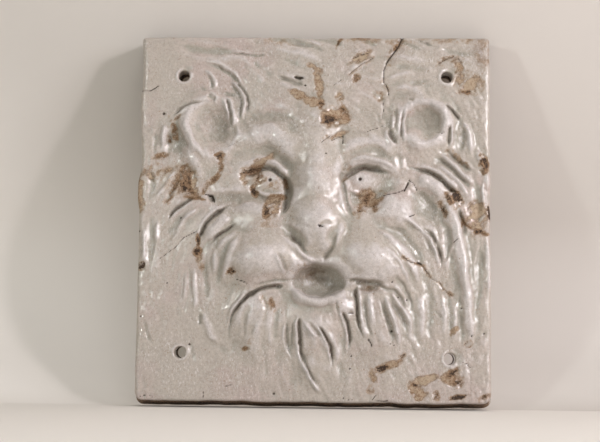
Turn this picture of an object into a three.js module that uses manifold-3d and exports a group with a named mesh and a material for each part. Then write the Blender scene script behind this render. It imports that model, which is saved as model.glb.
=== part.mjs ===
// Decorative wall plaque: a nearly square ceramic slab modelled in high relief as a lion's head,
// with cupped ears, a round open mouth, a long beard and a screw hole near each corner.
// Units are millimetres. +Z is up, +X is the viewer's right, the relief faces -Y.
// The back is flat on the plane Y = 0, and the origin lies on it behind the middle of the relief face.

import * as THREE from 'three';
import { mergeVertices } from 'three/addons/utils/BufferGeometryUtils.js';
import Module from 'manifold-3d';

// ---------------------------------------------------------------- driving dimensions

const WIDTH = 286; // across the relief face
const HEIGHT = 298; // up the relief face
const SLAB = 26; // thickness of the plain slab under the relief
const SIDE_DRAFT = 2.7; // how much further out the back edge stands than the face edge: at the sides,
const TOP_DRAFT = 1.8; // at the top
const FOOT_DRAFT = 4.9; // and at the foot
const EDGE_ROUND = 4; // radius of the rounded front edge
const FOOT_ROUND = 2; // its radius along the foot
const CORNER_TOP = 3; // corner radii seen from the front
const CORNER_BOTTOM = 7;

// Places where the hand-cut left edge stands out: middle height, half height and how far.
const SWELLINGS = [[20, 13, 1.9], [94, 10, 1]];

const HOLE_DIAMETER = 9.4;
const HOLE_SIDES = 20;
const HOLE_RIM = 1.2; // height of the clay pushed up round each hole
const HOLES = [[-108, 115.5], [107.5, 115.5], [-106.5, -110.5], [109.5, -113.5]];

const COLUMNS = 60; // cells across and up the relief
const ROWS = 64;
const CROWDING = 0.24; // how much closer the grid lines stand at the middle than on average

const GLAZE = { color: 0xbfb5a8, roughness: 0.3, metalness: 0 };

// ---------------------------------------------------------------- vocabulary of the modelling
// Each form gives the lift it adds at a point of the face, in millimetres towards the viewer.

const radians = (degrees) => (degrees * Math.PI) / 180;
const clamp01 = (value) => Math.min(1, Math.max(0, value));
const ease = (value) => value * value * (3 - 2 * value);

// Distance from a form's centre in units of its half sizes, along its own turned axes.
function ovalDistance(form, x, z) {
  const turn = radians(form.turn ?? 0);
  const dx = x - form.at[0];
  const dz = z - form.at[1];
  const along = (dx * Math.cos(turn) + dz * Math.sin(turn)) / form.half[0];
  const across = (dz * Math.cos(turn) - dx * Math.sin(turn)) / form.half[1];
  return Math.hypot(along, across);
}

// A smooth oval swelling, or a hollow where its rise is negative.
function mound(form) {
  return (x, z) => form.rise * (1 - Math.min(1, ovalDistance(form, x, z)) ** 2) ** (form.crown ?? 1.6);
}

// A round dish with a low rolled rim.
function dish(form) {
  const roll = 0.2;
  return (x, z) => {
    const reach = ovalDistance(form, x, z);
    const floor = -form.depth * clamp01(1 - reach ** 2.4);
    const rim = form.rim * Math.exp(-(((reach - 1 - 0.6 * roll) / roll) ** 2));
    return floor + rim;
  };
}

// A ridge (rise above 0) or a groove (rise below 0) along a bowed line that fades at both ends.
function stroke({ from, to, bow = 0, width, rise }) {
  const steps = 10;
  const chord = new THREE.Vector2(to[0] - from[0], to[1] - from[1]);
  const side = new THREE.Vector2(-chord.y, chord.x).normalize();
  const middle = new THREE.Vector2((from[0] + to[0]) / 2, (from[1] + to[1]) / 2);
  const control = middle.addScaledVector(side, 2 * bow);
  const line = new THREE.QuadraticBezierCurve(new THREE.Vector2(...from), control, new THREE.Vector2(...to));
  const points = line.getPoints(steps);
  const reach = 2.2 * width;
  return (x, z) => {
    let nearest = Infinity;
    let place = 0;
    for (let i = 0; i < steps; i += 1) {
      const ax = points[i].x;
      const az = points[i].y;
      const dx = points[i + 1].x - ax;
      const dz = points[i + 1].y - az;
      const share = clamp01(((x - ax) * dx + (z - az) * dz) / (dx * dx + dz * dz));
      const gap = Math.hypot(x - ax - share * dx, z - az - share * dz);
      if (gap < nearest) {
        nearest = gap;
        place = (i + share) / steps;
      }
    }
    const fade = ease(clamp01(place / 0.25)) * ease(clamp01((1 - place) / 0.25));
    return rise * fade * (1 - Math.min(1, nearest / reach) ** 2) ** 3;
  };
}

// ---------------------------------------------------------------- the lion's head

const skull = [
  mound({ at: [2, -10], half: [128, 150], rise: 8 }), // the whole face
  mound({ at: [-2, 95], half: [64, 54], rise: 4 }), // forehead
  mound({ at: [-38, 81], half: [26, 9], rise: -1.8, turn: 6 }), // hollows over the brows
  mound({ at: [38, 84], half: [24, 10], rise: -1.3, turn: -6 }),
];

const nose = [
  mound({ at: [1, 54], half: [22, 46], rise: 6 }), // root
  mound({ at: [2, 14], half: [25, 46], rise: 7.5 }), // bridge
  mound({ at: [2, -10], half: [28, 27], rise: 8.7, crown: 1.4 }), // ball
  stroke({ from: [11, 62], to: [21, -2], bow: -1.5, width: 5, rise: 2.4 }), // right flank
  mound({ at: [-15, -17], half: [14, 6.5], rise: -5.5, turn: -38, crown: 1.2 }), // under the left wing
  stroke({ from: [-20, -14], to: [-3, -33], bow: -0.6, width: 2.2, rise: -3.2 }),
  stroke({ from: [-16, -24], to: [4, -39], bow: -1.2, width: 2, rise: 2.4 }),
  mound({ at: [14, -17], half: [6, 10], rise: -2.6, turn: -20 }), // under the right wing
  stroke({ from: [20, -13], to: [8, -37], bow: 1.2, width: 1.8, rise: -3.2 }),
  stroke({ from: [23, -3], to: [13, -27], bow: 2.5, width: 2.2, rise: 1.6 }),
];

const leftEye = [
  stroke({ from: [-72, 52], to: [-11, 40], bow: 21, width: 8.5, rise: 5.5 }), // brow
  mound({ at: [-37, 28], half: [27, 26], rise: -9 }), // socket
  stroke({ from: [-58, 50], to: [-19, 36], bow: 10.5, width: 3.6, rise: -3.6 }),
  mound({ at: [-36, 28], half: [19, 14], rise: 6.5 }), // eyeball
  stroke({ from: [-61, 38], to: [-20, 29], bow: 12.5, width: 2.4, rise: 2.8 }), // upper lid
  stroke({ from: [-57, 32], to: [-21.5, 25], bow: 10.8, width: 1.9, rise: -5 }),
  stroke({ from: [-24, 34], to: [-30, -3], bow: 6.5, width: 2.4, rise: -6.5 }), // beside the nose
  stroke({ from: [-51, 25], to: [-23, 20], bow: -4, width: 1.8, rise: 2.4 }), // lower lid
];

const rightEye = [
  stroke({ from: [18, 40], to: [80, 44], bow: 18, width: 8, rise: 4.5 }), // brow
  mound({ at: [41, 26], half: [29, 25], rise: -9 }), // socket
  stroke({ from: [20, 44], to: [64, 48], bow: 8, width: 3.4, rise: -2.8 }),
  mound({ at: [39, 28], half: [20, 13], rise: 6.5 }), // eyeball
  stroke({ from: [23, 37], to: [65, 40], bow: 6.5, width: 2.2, rise: 2.6 }), // upper lid
  stroke({ from: [22.5, 28], to: [62, 35], bow: 8.2, width: 1.9, rise: -5 }),
  stroke({ from: [23, 37], to: [32, -4], bow: -3, width: 2, rise: -4 }), // beside the nose
  stroke({ from: [27, 24], to: [46, 20], bow: -3, width: 1.8, rise: 1.8 }), // lower lid
];

const muzzle = [
  mound({ at: [-42, 2], half: [25, 18], rise: 3.5, turn: 10 }), // left cheek
  mound({ at: [64, 5], half: [22, 17], rise: 7.5, turn: -14 }), // right cheek
  mound({ at: [40, -2], half: [18, 13], rise: 2.5 }),
  mound({ at: [92, 8], half: [21, 14], rise: -6, turn: -50 }), // hollow beside it
  mound({ at: [-44, -32], half: [46, 33], rise: 12, turn: 6, crown: 2 }), // left whisker pad
  mound({ at: [-40, -38], half: [32, 18], rise: 3.5, turn: 2 }),
  mound({ at: [46, -32], half: [50, 34], rise: 12, turn: -20, crown: 2 }), // right whisker pad
  mound({ at: [46, -38], half: [34, 18], rise: 3.5, turn: -14 }),
  stroke({ from: [-58, -12], to: [-73, -58], bow: -3, width: 2.2, rise: 2.4 }), // edges of the pads
  stroke({ from: [46, -9], to: [86, -62], bow: 9, width: 2.6, rise: 2.8 }),
  stroke({ from: [-23, -56], to: [-67, -108], bow: -18, width: 2, rise: -4.6 }), // mouth's corners
  stroke({ from: [26, -51], to: [68, -62], bow: 2.8, width: 1.9, rise: -2.6 }),
  mound({ at: [43, -56.5], half: [10, 5], rise: -4.2, turn: -4 }),
  stroke({ from: [58, -54], to: [76, -76], bow: 2, width: 1.8, rise: -2.4 }),
  dish({ at: [4.8, -52.2], half: [22, 14.8], depth: 13, rim: 1 }), // open mouth
  mound({ at: [4, -45.5], half: [18, 8], rise: -3.4 }),
  stroke({ from: [-18, -57], to: [28, -57], bow: -12.5, width: 3.8, rise: 4.2 }), // lower lip
];

const beard = [
  mound({ at: [3, -84], half: [34, 26], rise: 6 }), // chin
  mound({ at: [3, -108], half: [22, 36], rise: 3.5 }), // middle tuft
  mound({ at: [-44, -84], half: [26, 38], rise: 6, turn: 6 }), // left lobe
  mound({ at: [54, -84], half: [28, 44], rise: 4.5, turn: 18 }), // right lobe
  mound({ at: [25, -72], half: [13, 14], rise: 4.5 }),
  stroke({ from: [35.5, -56], to: [43, -102], bow: -3, width: 1.9, rise: -4.4 }),
  stroke({ from: [56, -62], to: [69, -108], bow: 3, width: 1.9, rise: 3.2 }),
  stroke({ from: [60, -59], to: [80, -95], bow: 4, width: 1.9, rise: 3.2 }),
  stroke({ from: [-19.5, -83], to: [-15.5, -116], bow: -3, width: 1.7, rise: -1.8 }),
  stroke({ from: [-10, -81], to: [-4, -124], bow: -3.6, width: 1.8, rise: -4 }),
  stroke({ from: [3.5, -88], to: [15, -122], bow: 4.6, width: 1.8, rise: -3.6 }),
  stroke({ from: [21, -76], to: [28.5, -108], bow: 4, width: 1.8, rise: -3.8 }),
];

const ears = [
  mound({ at: [-90, 70], half: [32, 36], rise: 9, turn: -8 }), // left ear and its cup
  mound({ at: [-84, 73], half: [22, 25], rise: -11, turn: 14, crown: 1.35 }),
  mound({ at: [-79, 70], half: [10, 16], rise: -3, turn: 10 }),
  stroke({ from: [-106, 82], to: [-90, 49], bow: -4, width: 2.6, rise: 3.8 }),
  mound({ at: [-111, 61], half: [14, 16], rise: -4.5, turn: 10 }),
  stroke({ from: [-74, 97], to: [-69.5, 72], bow: 3.4, width: 1.8, rise: -2.6 }),
  stroke({ from: [-118, 80], to: [-90, 94], bow: 4, width: 1.8, rise: -2.6 }),
  mound({ at: [88, 76], half: [32, 34], rise: 9 }), // right ear and its cup
  dish({ at: [88, 77], half: [17, 17], depth: 10, rim: 0.6 }),
  stroke({ from: [92, 97], to: [104, 58], bow: 10, width: 3.8, rise: 3.2 }),
  stroke({ from: [60, 74], to: [68, 58], bow: -2.2, width: 1.8, rise: -3.4 }),
  stroke({ from: [103, 94], to: [119, 80], bow: 0.8, width: 1.8, rise: -3 }),
  stroke({ from: [119, 82], to: [126, 50], bow: 3.4, width: 2, rise: 2.8 }),
];

const leftMane = [
  stroke({ from: [-97, 126], to: [-58, 104], bow: 7, width: 1.9, rise: -2.8 }), // over the ear
  stroke({ from: [-70, 113], to: [-60, 76], bow: 7, width: 1.8, rise: 2.8 }),
  stroke({ from: [-119, -5], to: [-97, 13], bow: 3.6, width: 1.8, rise: -3.6 }), // under the ear
  stroke({ from: [-66, 9], to: [-94, -22], bow: -5.4, width: 1.9, rise: -4.6 }), // cheek locks
  stroke({ from: [-66, 1], to: [-88, -22], bow: -2, width: 3.4, rise: 3.8 }),
  stroke({ from: [-63, -7], to: [-84, -22], bow: -0.8, width: 1.8, rise: -3.4 }),
  mound({ at: [-68, 14], half: [22, 8], rise: -3.2, turn: 4 }),
  stroke({ from: [-80, -26], to: [-79, -48], bow: 0.4, width: 2, rise: 2 }),
];

const rightMane = [
  stroke({ from: [72, 41], to: [115, 19], bow: 5.6, width: 2, rise: -4.8 }), // cheek locks
  stroke({ from: [80, 32], to: [106, 17], bow: 3, width: 4.5, rise: 3.2 }),
  stroke({ from: [58, -8], to: [88, -40], bow: 4, width: 3.6, rise: -4 }),
  stroke({ from: [68, 0], to: [101, -44], bow: 10, width: 1.9, rise: 3 }),
  stroke({ from: [84, -6], to: [104, -42], bow: 6, width: 1.8, rise: -3.2 }),
  stroke({ from: [101, 52], to: [130, 24], bow: 2, width: 1.8, rise: 2.8 }),
  stroke({ from: [109, 8], to: [122, -58], bow: 4, width: 2.4, rise: 4.2 }), // outermost locks
  stroke({ from: [119, -35], to: [128, -100], bow: 1, width: 2.2, rise: 3.2 }),
  stroke({ from: [84, -58], to: [88, -108], bow: 2, width: 2.6, rise: 1.8 }),
];

const holeRims = HOLES.map((at) =>
  dish({ at, half: [HOLE_DIAMETER * 0.55, HOLE_DIAMETER * 0.55], depth: 0, rim: HOLE_RIM }));

const head = [skull, nose, leftEye, rightEye, muzzle, beard, ears, leftMane, rightMane];
const forms = [...head, holeRims].flat();

function lift(x, z) {
  return forms.reduce((total, form) => total + form(x, z), 0);
}

// ---------------------------------------------------------------- outline of the slab

// Places of the grid lines from one edge to the other: close together over the rounded edge,
// and with t from -1 to 1 at half * ((1 - c) t + c t^3) between, closer at the middle.
function gridLines(length, cells) {
  const edge = [0, 0.12, 0.35, 0.65, 1].map((share) => share * EDGE_ROUND - length / 2);
  const half = -edge[edge.length - 1];
  const inner = cells - 2 * (edge.length - 1);
  const places = [...edge];
  for (let i = 1; i < inner; i += 1) {
    const t = (2 * i) / inner - 1;
    places.push(half * ((1 - CROWDING) * t + CROWDING * t ** 3));
  }
  return [...places, ...edge.map((place) => -place).reverse()];
}

// Pulls the square corner of the grid in to a quarter circle.
function roundCorner(x, z) {
  const radius = z > 0 ? CORNER_TOP : CORNER_BOTTOM;
  const dx = Math.abs(x) - (WIDTH / 2 - radius);
  const dz = Math.abs(z) - (HEIGHT / 2 - radius);
  if (dx <= 0 || dz <= 0) return [x, z];
  const pull = Math.max(dx, dz) / Math.hypot(dx, dz);
  return [
    Math.sign(x) * (WIDTH / 2 - radius + dx * pull),
    Math.sign(z) * (HEIGHT / 2 - radius + dz * pull),
  ];
}

// How far the left edge and what lies just inside it stand out at a place.
function swelling(x, z) {
  if (x > 0) return 0;
  const nearEdge = Math.abs(x / (WIDTH / 2)) ** 14;
  return nearEdge * SWELLINGS.reduce((sum, [middle, half, out]) =>
    sum + out * Math.exp(-(((z - middle) / half) ** 4)), 0);
}

// Height of the face over the back, which falls away round the edge as a quarter circle does.
function faceHeight(x, z) {
  const toSide = WIDTH / 2 - Math.abs(x);
  const toFoot = z + HEIGHT / 2;
  const foot = ease(clamp01((toSide - toFoot) / 10 + 0.5));
  const round = EDGE_ROUND + (FOOT_ROUND - EDGE_ROUND) * foot;
  const inward = clamp01(Math.min(toSide, toFoot, HEIGHT / 2 - z) / round);
  const fall = round * (1 - Math.sqrt(1 - (1 - inward) ** 2));
  return SLAB - fall + lift(x, z) * (1 - (0.75 * fall) / EDGE_ROUND);
}

// Where a place of the face's rim comes out on the back, behind and a little outside it.
function backPlace(x, z) {
  const toSide = ease(clamp01((Math.abs(x) - WIDTH / 2 + 20) / 16));
  const toEnd = ease(clamp01((Math.abs(z) - HEIGHT / 2 + 20) / 16));
  const endDraft = z > 0 ? TOP_DRAFT : FOOT_DRAFT;
  return [x + Math.sign(x) * SIDE_DRAFT * toSide, z + Math.sign(z) * endDraft * toEnd];
}

// ---------------------------------------------------------------- the solid

function slabGeometry() {
  const across = gridLines(WIDTH, COLUMNS);
  const up = gridLines(HEIGHT, ROWS);
  const positions = [];
  const triangles = [];
  const quad = (a, b, c, d) => triangles.push(a, b, c, a, c, d);
  const at = (column, row) => row * (COLUMNS + 1) + column;

  for (const z of up) {
    for (const x of across) {
      const [px, pz] = roundCorner(x, z);
      positions.push(px - swelling(px, pz), -faceHeight(x, z), pz);
    }
  }
  for (let row = 0; row < ROWS; row += 1) {
    for (let column = 0; column < COLUMNS; column += 1) {
      quad(at(column, row), at(column + 1, row), at(column + 1, row + 1), at(column, row + 1));
    }
  }

  // The rim of the face, counter-clockwise from the lower left corner as the viewer sees it.
  const rim = [];
  for (let column = 0; column < COLUMNS; column += 1) rim.push(at(column, 0));
  for (let row = 0; row < ROWS; row += 1) rim.push(at(COLUMNS, row));
  for (let column = COLUMNS; column > 0; column -= 1) rim.push(at(column, ROWS));
  for (let row = ROWS; row > 0; row -= 1) rim.push(at(0, row));

  // The sides run from the rim to the back's edge, and the back fans out from one point.
  const backStart = positions.length / 3;
  for (const corner of rim) {
    const [x, z] = backPlace(positions[3 * corner], positions[3 * corner + 2]);
    positions.push(x, 0, z);
  }
  const hub = positions.length / 3;
  positions.push(WIDTH / 9, 0, HEIGHT / 11);
  rim.forEach((corner, i) => {
    const next = (i + 1) % rim.length;
    quad(corner, backStart + i, backStart + next, rim[next]);
    triangles.push(backStart + i, hub, backStart + next);
  });

  const geometry = new THREE.BufferGeometry();
  geometry.setAttribute('position', new THREE.Float32BufferAttribute(positions, 3));
  geometry.setIndex(triangles);
  return geometry;
}

function holeGeometry([x, z]) {
  const length = 3 * SLAB;
  const drill = new THREE.CylinderGeometry(HOLE_DIAMETER / 2, HOLE_DIAMETER / 2, length, HOLE_SIDES);
  return drill.translate(x, -SLAB / 2, z);
}

const wasm = await Module();
wasm.setup();

function toSolid(geometry) {
  const bare = geometry.clone();
  bare.deleteAttribute('normal');
  bare.deleteAttribute('uv');
  const merged = mergeVertices(bare);
  return new wasm.Manifold(new wasm.Mesh({
    numProp: 3,
    vertProperties: new Float32Array(merged.attributes.position.array),
    triVerts: new Uint32Array(merged.index.array),
  }));
}

function toGeometry(solid) {
  const mesh = solid.getMesh();
  const geometry = new THREE.BufferGeometry();
  geometry.setAttribute('position', new THREE.BufferAttribute(mesh.vertProperties, 3));
  geometry.setIndex(new THREE.BufferAttribute(mesh.triVerts, 1));
  geometry.computeVertexNormals();
  return geometry;
}

function makePlaque() {
  const blank = toSolid(slabGeometry());
  const drilled = HOLES.reduce((solid, hole) => solid.subtract(toSolid(holeGeometry(hole))), blank);
  const plaque = new THREE.Mesh(toGeometry(drilled), new THREE.MeshStandardMaterial(GLAZE));
  plaque.name = 'plaque';
  return plaque;
}

const group = new THREE.Group();
group.add(makePlaque());
export default group;
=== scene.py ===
"""Looks of a decorative wall plaque: a glazed slab modelled by hand as a lion's head.

The head is a relief, so its shape is one height over the slab's face at each place on it. That height
is the sum of small modelling moves, which a potter would call mounds, dishes and strokes, and each part
of the head is a class that lists its own moves. Places and sizes of the moves are millimetres on the
face, x to the viewer's right and z up, and MM turns them to metres when the mesh is made.
"""

import logging
import math
from dataclasses import dataclass, field
from enum import Enum
from typing import ClassVar

import bpy
import numpy as np
from mathutils import Matrix, Vector
from mathutils.geometry import delaunay_2d_cdt as cdt


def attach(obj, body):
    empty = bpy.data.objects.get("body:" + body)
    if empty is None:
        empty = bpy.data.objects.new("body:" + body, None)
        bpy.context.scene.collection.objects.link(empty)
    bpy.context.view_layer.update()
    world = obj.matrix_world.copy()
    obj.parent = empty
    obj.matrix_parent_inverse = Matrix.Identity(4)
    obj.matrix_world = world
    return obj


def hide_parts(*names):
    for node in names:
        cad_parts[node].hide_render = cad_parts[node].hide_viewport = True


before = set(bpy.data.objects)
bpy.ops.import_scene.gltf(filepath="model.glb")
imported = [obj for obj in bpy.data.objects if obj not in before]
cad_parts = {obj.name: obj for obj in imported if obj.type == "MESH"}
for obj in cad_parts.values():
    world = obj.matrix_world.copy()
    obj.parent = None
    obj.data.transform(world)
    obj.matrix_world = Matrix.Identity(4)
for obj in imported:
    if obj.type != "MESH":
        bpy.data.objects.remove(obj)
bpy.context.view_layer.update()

MM = 0.001
LOG = logging.getLogger("plaque")
Pair = tuple[float, float]
Triple = tuple[float, float, float]
Fields = dict[str, np.ndarray]
Socket = bpy.types.NodeSocket
Source = Socket | float | tuple

# Noise: size of the random lattice, a shift that keeps its indices above 0, and each octave's share.
LATTICE = 256
LATTICE_SHIFT = 90.0
OCTAVE_SHARE = 0.55


# ---- numbers on the face ----


def ease(value: np.ndarray) -> np.ndarray:
    """Smooth step of a value held to 0..1: 3 v^2 - 2 v^3."""
    held = np.clip(value, 0.0, 1.0)
    return held * held * (3.0 - 2.0 * held)


def soften(grid: np.ndarray, radius: float) -> np.ndarray:
    """Blurs a grid with a bell, one axis after the other, out to 2.5 of its standard deviations.

    Args:
        grid: values at the grid's places.
        radius: the bell's standard deviation, in cells.

    Returns:
        The blurred values, with the border repeated outwards.
    """
    reach = max(1, int(math.ceil(2.5 * radius)))
    weights = np.exp(-0.5 * (np.arange(-reach, reach + 1) / radius) ** 2)
    weights /= weights.sum()
    for axis in (0, 1):
        padding = [(reach, reach) if axis == a else (0, 0) for a in (0, 1)]
        padded = np.pad(grid, padding, mode="edge")
        size = grid.shape[axis]
        grid = sum(w * np.take(padded, range(i, i + size), axis=axis) for i, w in enumerate(weights))
    return grid


def value_noise(x: np.ndarray, z: np.ndarray, cell: float, seed: int) -> np.ndarray:
    """Random heights on a square lattice, joined smoothly, from -1 to 1.

    Args:
        x, z: places across and up.
        cell: lattice spacing, in the places' own unit.
        seed: which lattice of random heights.

    Returns:
        The noise at every place.
    """
    lattice = np.random.default_rng(seed).uniform(-1.0, 1.0, (LATTICE, LATTICE))
    u, v = x / cell + LATTICE_SHIFT, z / cell + LATTICE_SHIFT
    i, j = np.floor(u).astype(int), np.floor(v).astype(int)
    fu, fv = ease(u - i), ease(v - j)
    i, j = i % (LATTICE - 1), j % (LATTICE - 1)
    low = lattice[j, i] * (1 - fu) + lattice[j, i + 1] * fu
    high = lattice[j + 1, i] * (1 - fu) + lattice[j + 1, i + 1] * fu
    return low * (1 - fv) + high * fv


def fractal(x: np.ndarray, z: np.ndarray, cell: float, octaves: int, seed: int) -> np.ndarray:
    """Sum of value noises, each half as wide and a bit over half as strong as the last.

    Args:
        x, z: places across and up.
        cell: lattice spacing of the widest noise.
        octaves: how many noises.
        seed: which noise comes first; the others follow it.

    Returns:
        The sum at every place.
    """
    total, strength = np.zeros_like(x), 1.0
    for octave in range(octaves):
        total = total + strength * value_noise(x, z, cell / 2**octave, seed + octave)
        strength *= OCTAVE_SHARE
    return total


def drawn_out(
    x: np.ndarray, z: np.ndarray, angle: np.ndarray, reach: float, cell: float, seed: int
) -> np.ndarray:
    """Noise smeared along a direction at each place, as a comb or a fingertip leaves it.

    Args:
        x, z: places across and up.
        angle: direction at each place, in radians from x.
        reach: how far the smear goes to either side.
        cell: spacing of the noise.
        seed: which noise.

    Returns:
        The mean of the noise over 2 * reach at every place, scaled to about -1 to 1.
    """
    samples, gain = 13, 2.2
    along_x, along_z = np.cos(angle), np.sin(angle)
    steps = np.linspace(-reach, reach, samples)
    total = sum(value_noise(x + step * along_x, z + step * along_z, cell, seed) for step in steps)
    return gain * total / samples


def oval(at: Pair, half: Pair, turn: float, x: np.ndarray, z: np.ndarray) -> np.ndarray:
    """Distance from an oval's centre in half sizes: the length of (along / half, across / half).

    Args:
        at: the oval's centre.
        half: its half sizes along its own two axes.
        turn: degrees from x to its first axis, anticlockwise.
        x, z: places across and up.

    Returns:
        0 at the centre and 1 on the oval, at every place.
    """
    angle = math.radians(turn)
    dx, dz = x - at[0], z - at[1]
    along = (dx * math.cos(angle) + dz * math.sin(angle)) / half[0]
    across = (dz * math.cos(angle) - dx * math.sin(angle)) / half[1]
    return np.hypot(along, across)


def from_line(start: Pair, end: Pair, x: np.ndarray, z: np.ndarray) -> tuple[np.ndarray, ...]:
    """Measures places from the nearest point of a straight line.

    Args:
        start: the line's start.
        end: the line's end.
        x, z: places across and up.

    Returns:
        Where on the line the nearest point lies, from 0 to 1, and the offsets from it in x and z.
    """
    dx, dz = end[0] - start[0], end[1] - start[1]
    share = np.clip(((x - start[0]) * dx + (z - start[1]) * dz) / (dx * dx + dz * dz), 0.0, 1.0)
    return share, x - start[0] - share * dx, z - start[1] - share * dz


# ---- modelling moves ----


@dataclass(frozen=True)
class Mound:
    """An oval swelling of the clay, or a hollow where its rise is negative.

    Its lift is rise * (1 - r^2)^crown, where r is the distance from the centre in half sizes.
    """

    at: Pair
    half: Pair
    rise: float
    turn: float = 0.0
    crown: float = 1.6

    def lift(self, x: np.ndarray, z: np.ndarray) -> np.ndarray:
        """Lift at every place, in millimetres."""
        r = oval(self.at, self.half, self.turn, x, z)
        return self.rise * (1.0 - np.minimum(1.0, r) ** 2) ** self.crown


@dataclass(frozen=True)
class Dish:
    """A round dish pressed into the clay, with a low rolled rim.

    Inside r = 1 its lift is -depth * (1 - r^wall); the rim is a bell round the edge.
    """

    at: Pair
    half: Pair
    depth: float
    rim: float
    turn: float = 0.0
    wall: float = 2.4
    roll: float = 0.2

    def lift(self, x: np.ndarray, z: np.ndarray) -> np.ndarray:
        """Lift of the floor and the rim, whose crest lies 0.6 of its roll outside the edge.

        Args:
            x, z: places across and up.

        Returns:
            The lift at every place, in millimetres.
        """
        r = oval(self.at, self.half, self.turn, x, z)
        floor = -self.depth * np.clip(1.0 - r**self.wall, 0.0, 1.0)
        return floor + self.rim * np.exp(-(((r - 1.0 - 0.6 * self.roll) / self.roll) ** 2))


@dataclass(frozen=True)
class Stroke:
    """A ridge (rise above 0) or a groove (rise below 0) drawn along a bowed line.

    The line is the parabola from start to end that stands bow to the left of its chord halfway. Across
    it the lift is rise * (1 - (d / SPREAD w)^2)^3, and head and tail say over what share of the length
    it fades in and out. lip adds a second, softer ridge beside it: to its left, or right if negative.
    lean makes its left side steep and its right side gentle, or the other way if negative.
    """

    start: Pair
    end: Pair
    bow: float
    width: float
    rise: float
    lip: float = 0.0
    lean: float = 0.0
    head: float = 0.3
    tail: float = 0.3

    # In widths: where the lift ends, where the lip's crest lies, where it ends, and how far all reaches.
    SPREAD: ClassVar[float] = 2.2
    LIP_PLACE: ClassVar[float] = 1.8
    LIP_SPREAD: ClassVar[float] = 2.1
    LIP_REACH: ClassVar[float] = 1.9
    # How much a full lean moves the sides, the tips' share of the width, and the line's straight steps.
    LEAN_SHARE: ClassVar[float] = 0.6
    TIP_SHARE: ClassVar[float] = 0.45
    STEPS: ClassVar[int] = 16

    def lift(self, x: np.ndarray, z: np.ndarray) -> np.ndarray:
        """Lift of the ridge and its lip.

        Args:
            x, z: places across and up.

        Returns:
            The lift at every place, in millimetres.
        """
        near, off, place = self.measure(x, z)
        total = np.zeros_like(x)
        if near.any():
            fade = ease(place / self.head) * ease((1.0 - place) / self.tail)
            width = self.width * (self.TIP_SHARE + (1.0 - self.TIP_SHARE) * fade)
            side = 1.0 - self.LEAN_SHARE * self.lean * np.sign(off)
            ridge = self.rise * np.clip(1.0 - (off / (self.SPREAD * width * side)) ** 2, 0.0, 1.0) ** 3
            from_lip = off - math.copysign(self.LIP_PLACE, self.lip) * width
            lip = abs(self.lip) * np.clip(1.0 - (from_lip / (self.LIP_SPREAD * width)) ** 2, 0.0, 1.0) ** 3
            total[near] = fade * (ridge + lip)
        return total

    def measure(self, x: np.ndarray, z: np.ndarray) -> tuple[np.ndarray, ...]:
        """Finds the places near the line.

        Args:
            x, z: places across and up.

        Returns:
            A mask of the near places and, for those, the signed distance off the line, which is
            positive on its left, and the place along it from 0 to 1.
        """
        start, end = np.array(self.start, float), np.array(self.end, float)
        chord = end - start
        left = np.array([-chord[1], chord[0]]) / np.hypot(*chord)
        crest = (start + end) / 2 + self.bow * left
        widest = max(1.0 + self.LEAN_SHARE * abs(self.lean), self.LIP_REACH if self.lip else 1.0)
        reach = self.SPREAD * self.width * widest
        low = np.minimum(np.minimum(start, end), crest) - reach
        high = np.maximum(np.maximum(start, end), crest) + reach
        near = (x > low[0]) & (x < high[0]) & (z > low[1]) & (z < high[1])
        px, pz = x[near], z[near]
        t = np.linspace(0.0, 1.0, self.STEPS + 1)[:, None]
        control = crest + self.bow * left
        line = (1 - t) ** 2 * start + 2 * t * (1 - t) * control + t**2 * end
        best = np.full(px.shape, np.inf)
        off, place = np.zeros_like(px), np.zeros_like(px)
        for i, (a, b) in enumerate(zip(line[:-1], line[1:])):
            share, dx, dz = from_line(a, b, px, pz)
            gap = np.hypot(dx, dz)
            closer = gap < best
            best[closer] = gap[closer]
            side = np.sign((b[0] - a[0]) * dz - (b[1] - a[1]) * dx)
            off[closer] = (side * gap)[closer]
            place[closer] = ((i + share) / self.STEPS)[closer]
        return near, off, place


Move = Mound | Dish | Stroke


# ---- the lion's head ----


@dataclass
class Skull:
    """The broad volumes that the rest of the head is modelled on."""

    rise: float = 8.0

    def moves(self) -> list[Move]:
        """Face, forehead and the hollows over the brows."""
        return [
            Mound((2, -10), (128, 150), self.rise),
            Mound((-2, 95), (64, 54), 4),
            Mound((-38, 81), (26, 8), -1.8, turn=6),
            Mound((38, 84), (24, 10), -1.3, turn=-6),
        ]


@dataclass
class Nose:
    """A long straight bridge that ends in a wedge over the mouth."""

    bridge: float = 7.5

    def moves(self) -> list[Move]:
        """Root, bridge and ball, then the wings and the folds under them."""
        return [
            Mound((1, 54), (22, 46), 6),
            Mound((4, 12), (27, 48), self.bridge),
            Mound((2, -10), (28, 27), 7.5, crown=1.4),
            Stroke((15, 60), (29, -8), 1.5, 3.8, 2.8, lean=0.3, head=0.4),
            Mound((-15, -17), (14, 6.5), -5.5, turn=-38, crown=1.2),
            Stroke((-20, -14), (-3, -33), -0.6, 1.7, -3.4, head=0.3, tail=0.35),
            Stroke((-16, -24), (4, -39), -1.2, 1.7, 2.4, head=0.35, tail=0.25),
            Mound((14, -17), (6, 10), -2.6, turn=-20),
            Stroke((5, -9.5), (17, -7), 3.4, 0.9, -1.4, head=0.15, tail=0.4),
            Stroke((20, -13), (8, -37), 1.2, 1.6, -3, lean=0.4, head=0.3, tail=0.15),
            Stroke((23, -3), (13, -27), 2.5, 2.2, 1.6),
            Mound((-14, -8), (1.2, 1.2), -1),
            Mound((-5, -10), (1, 1), -1),
        ]


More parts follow.
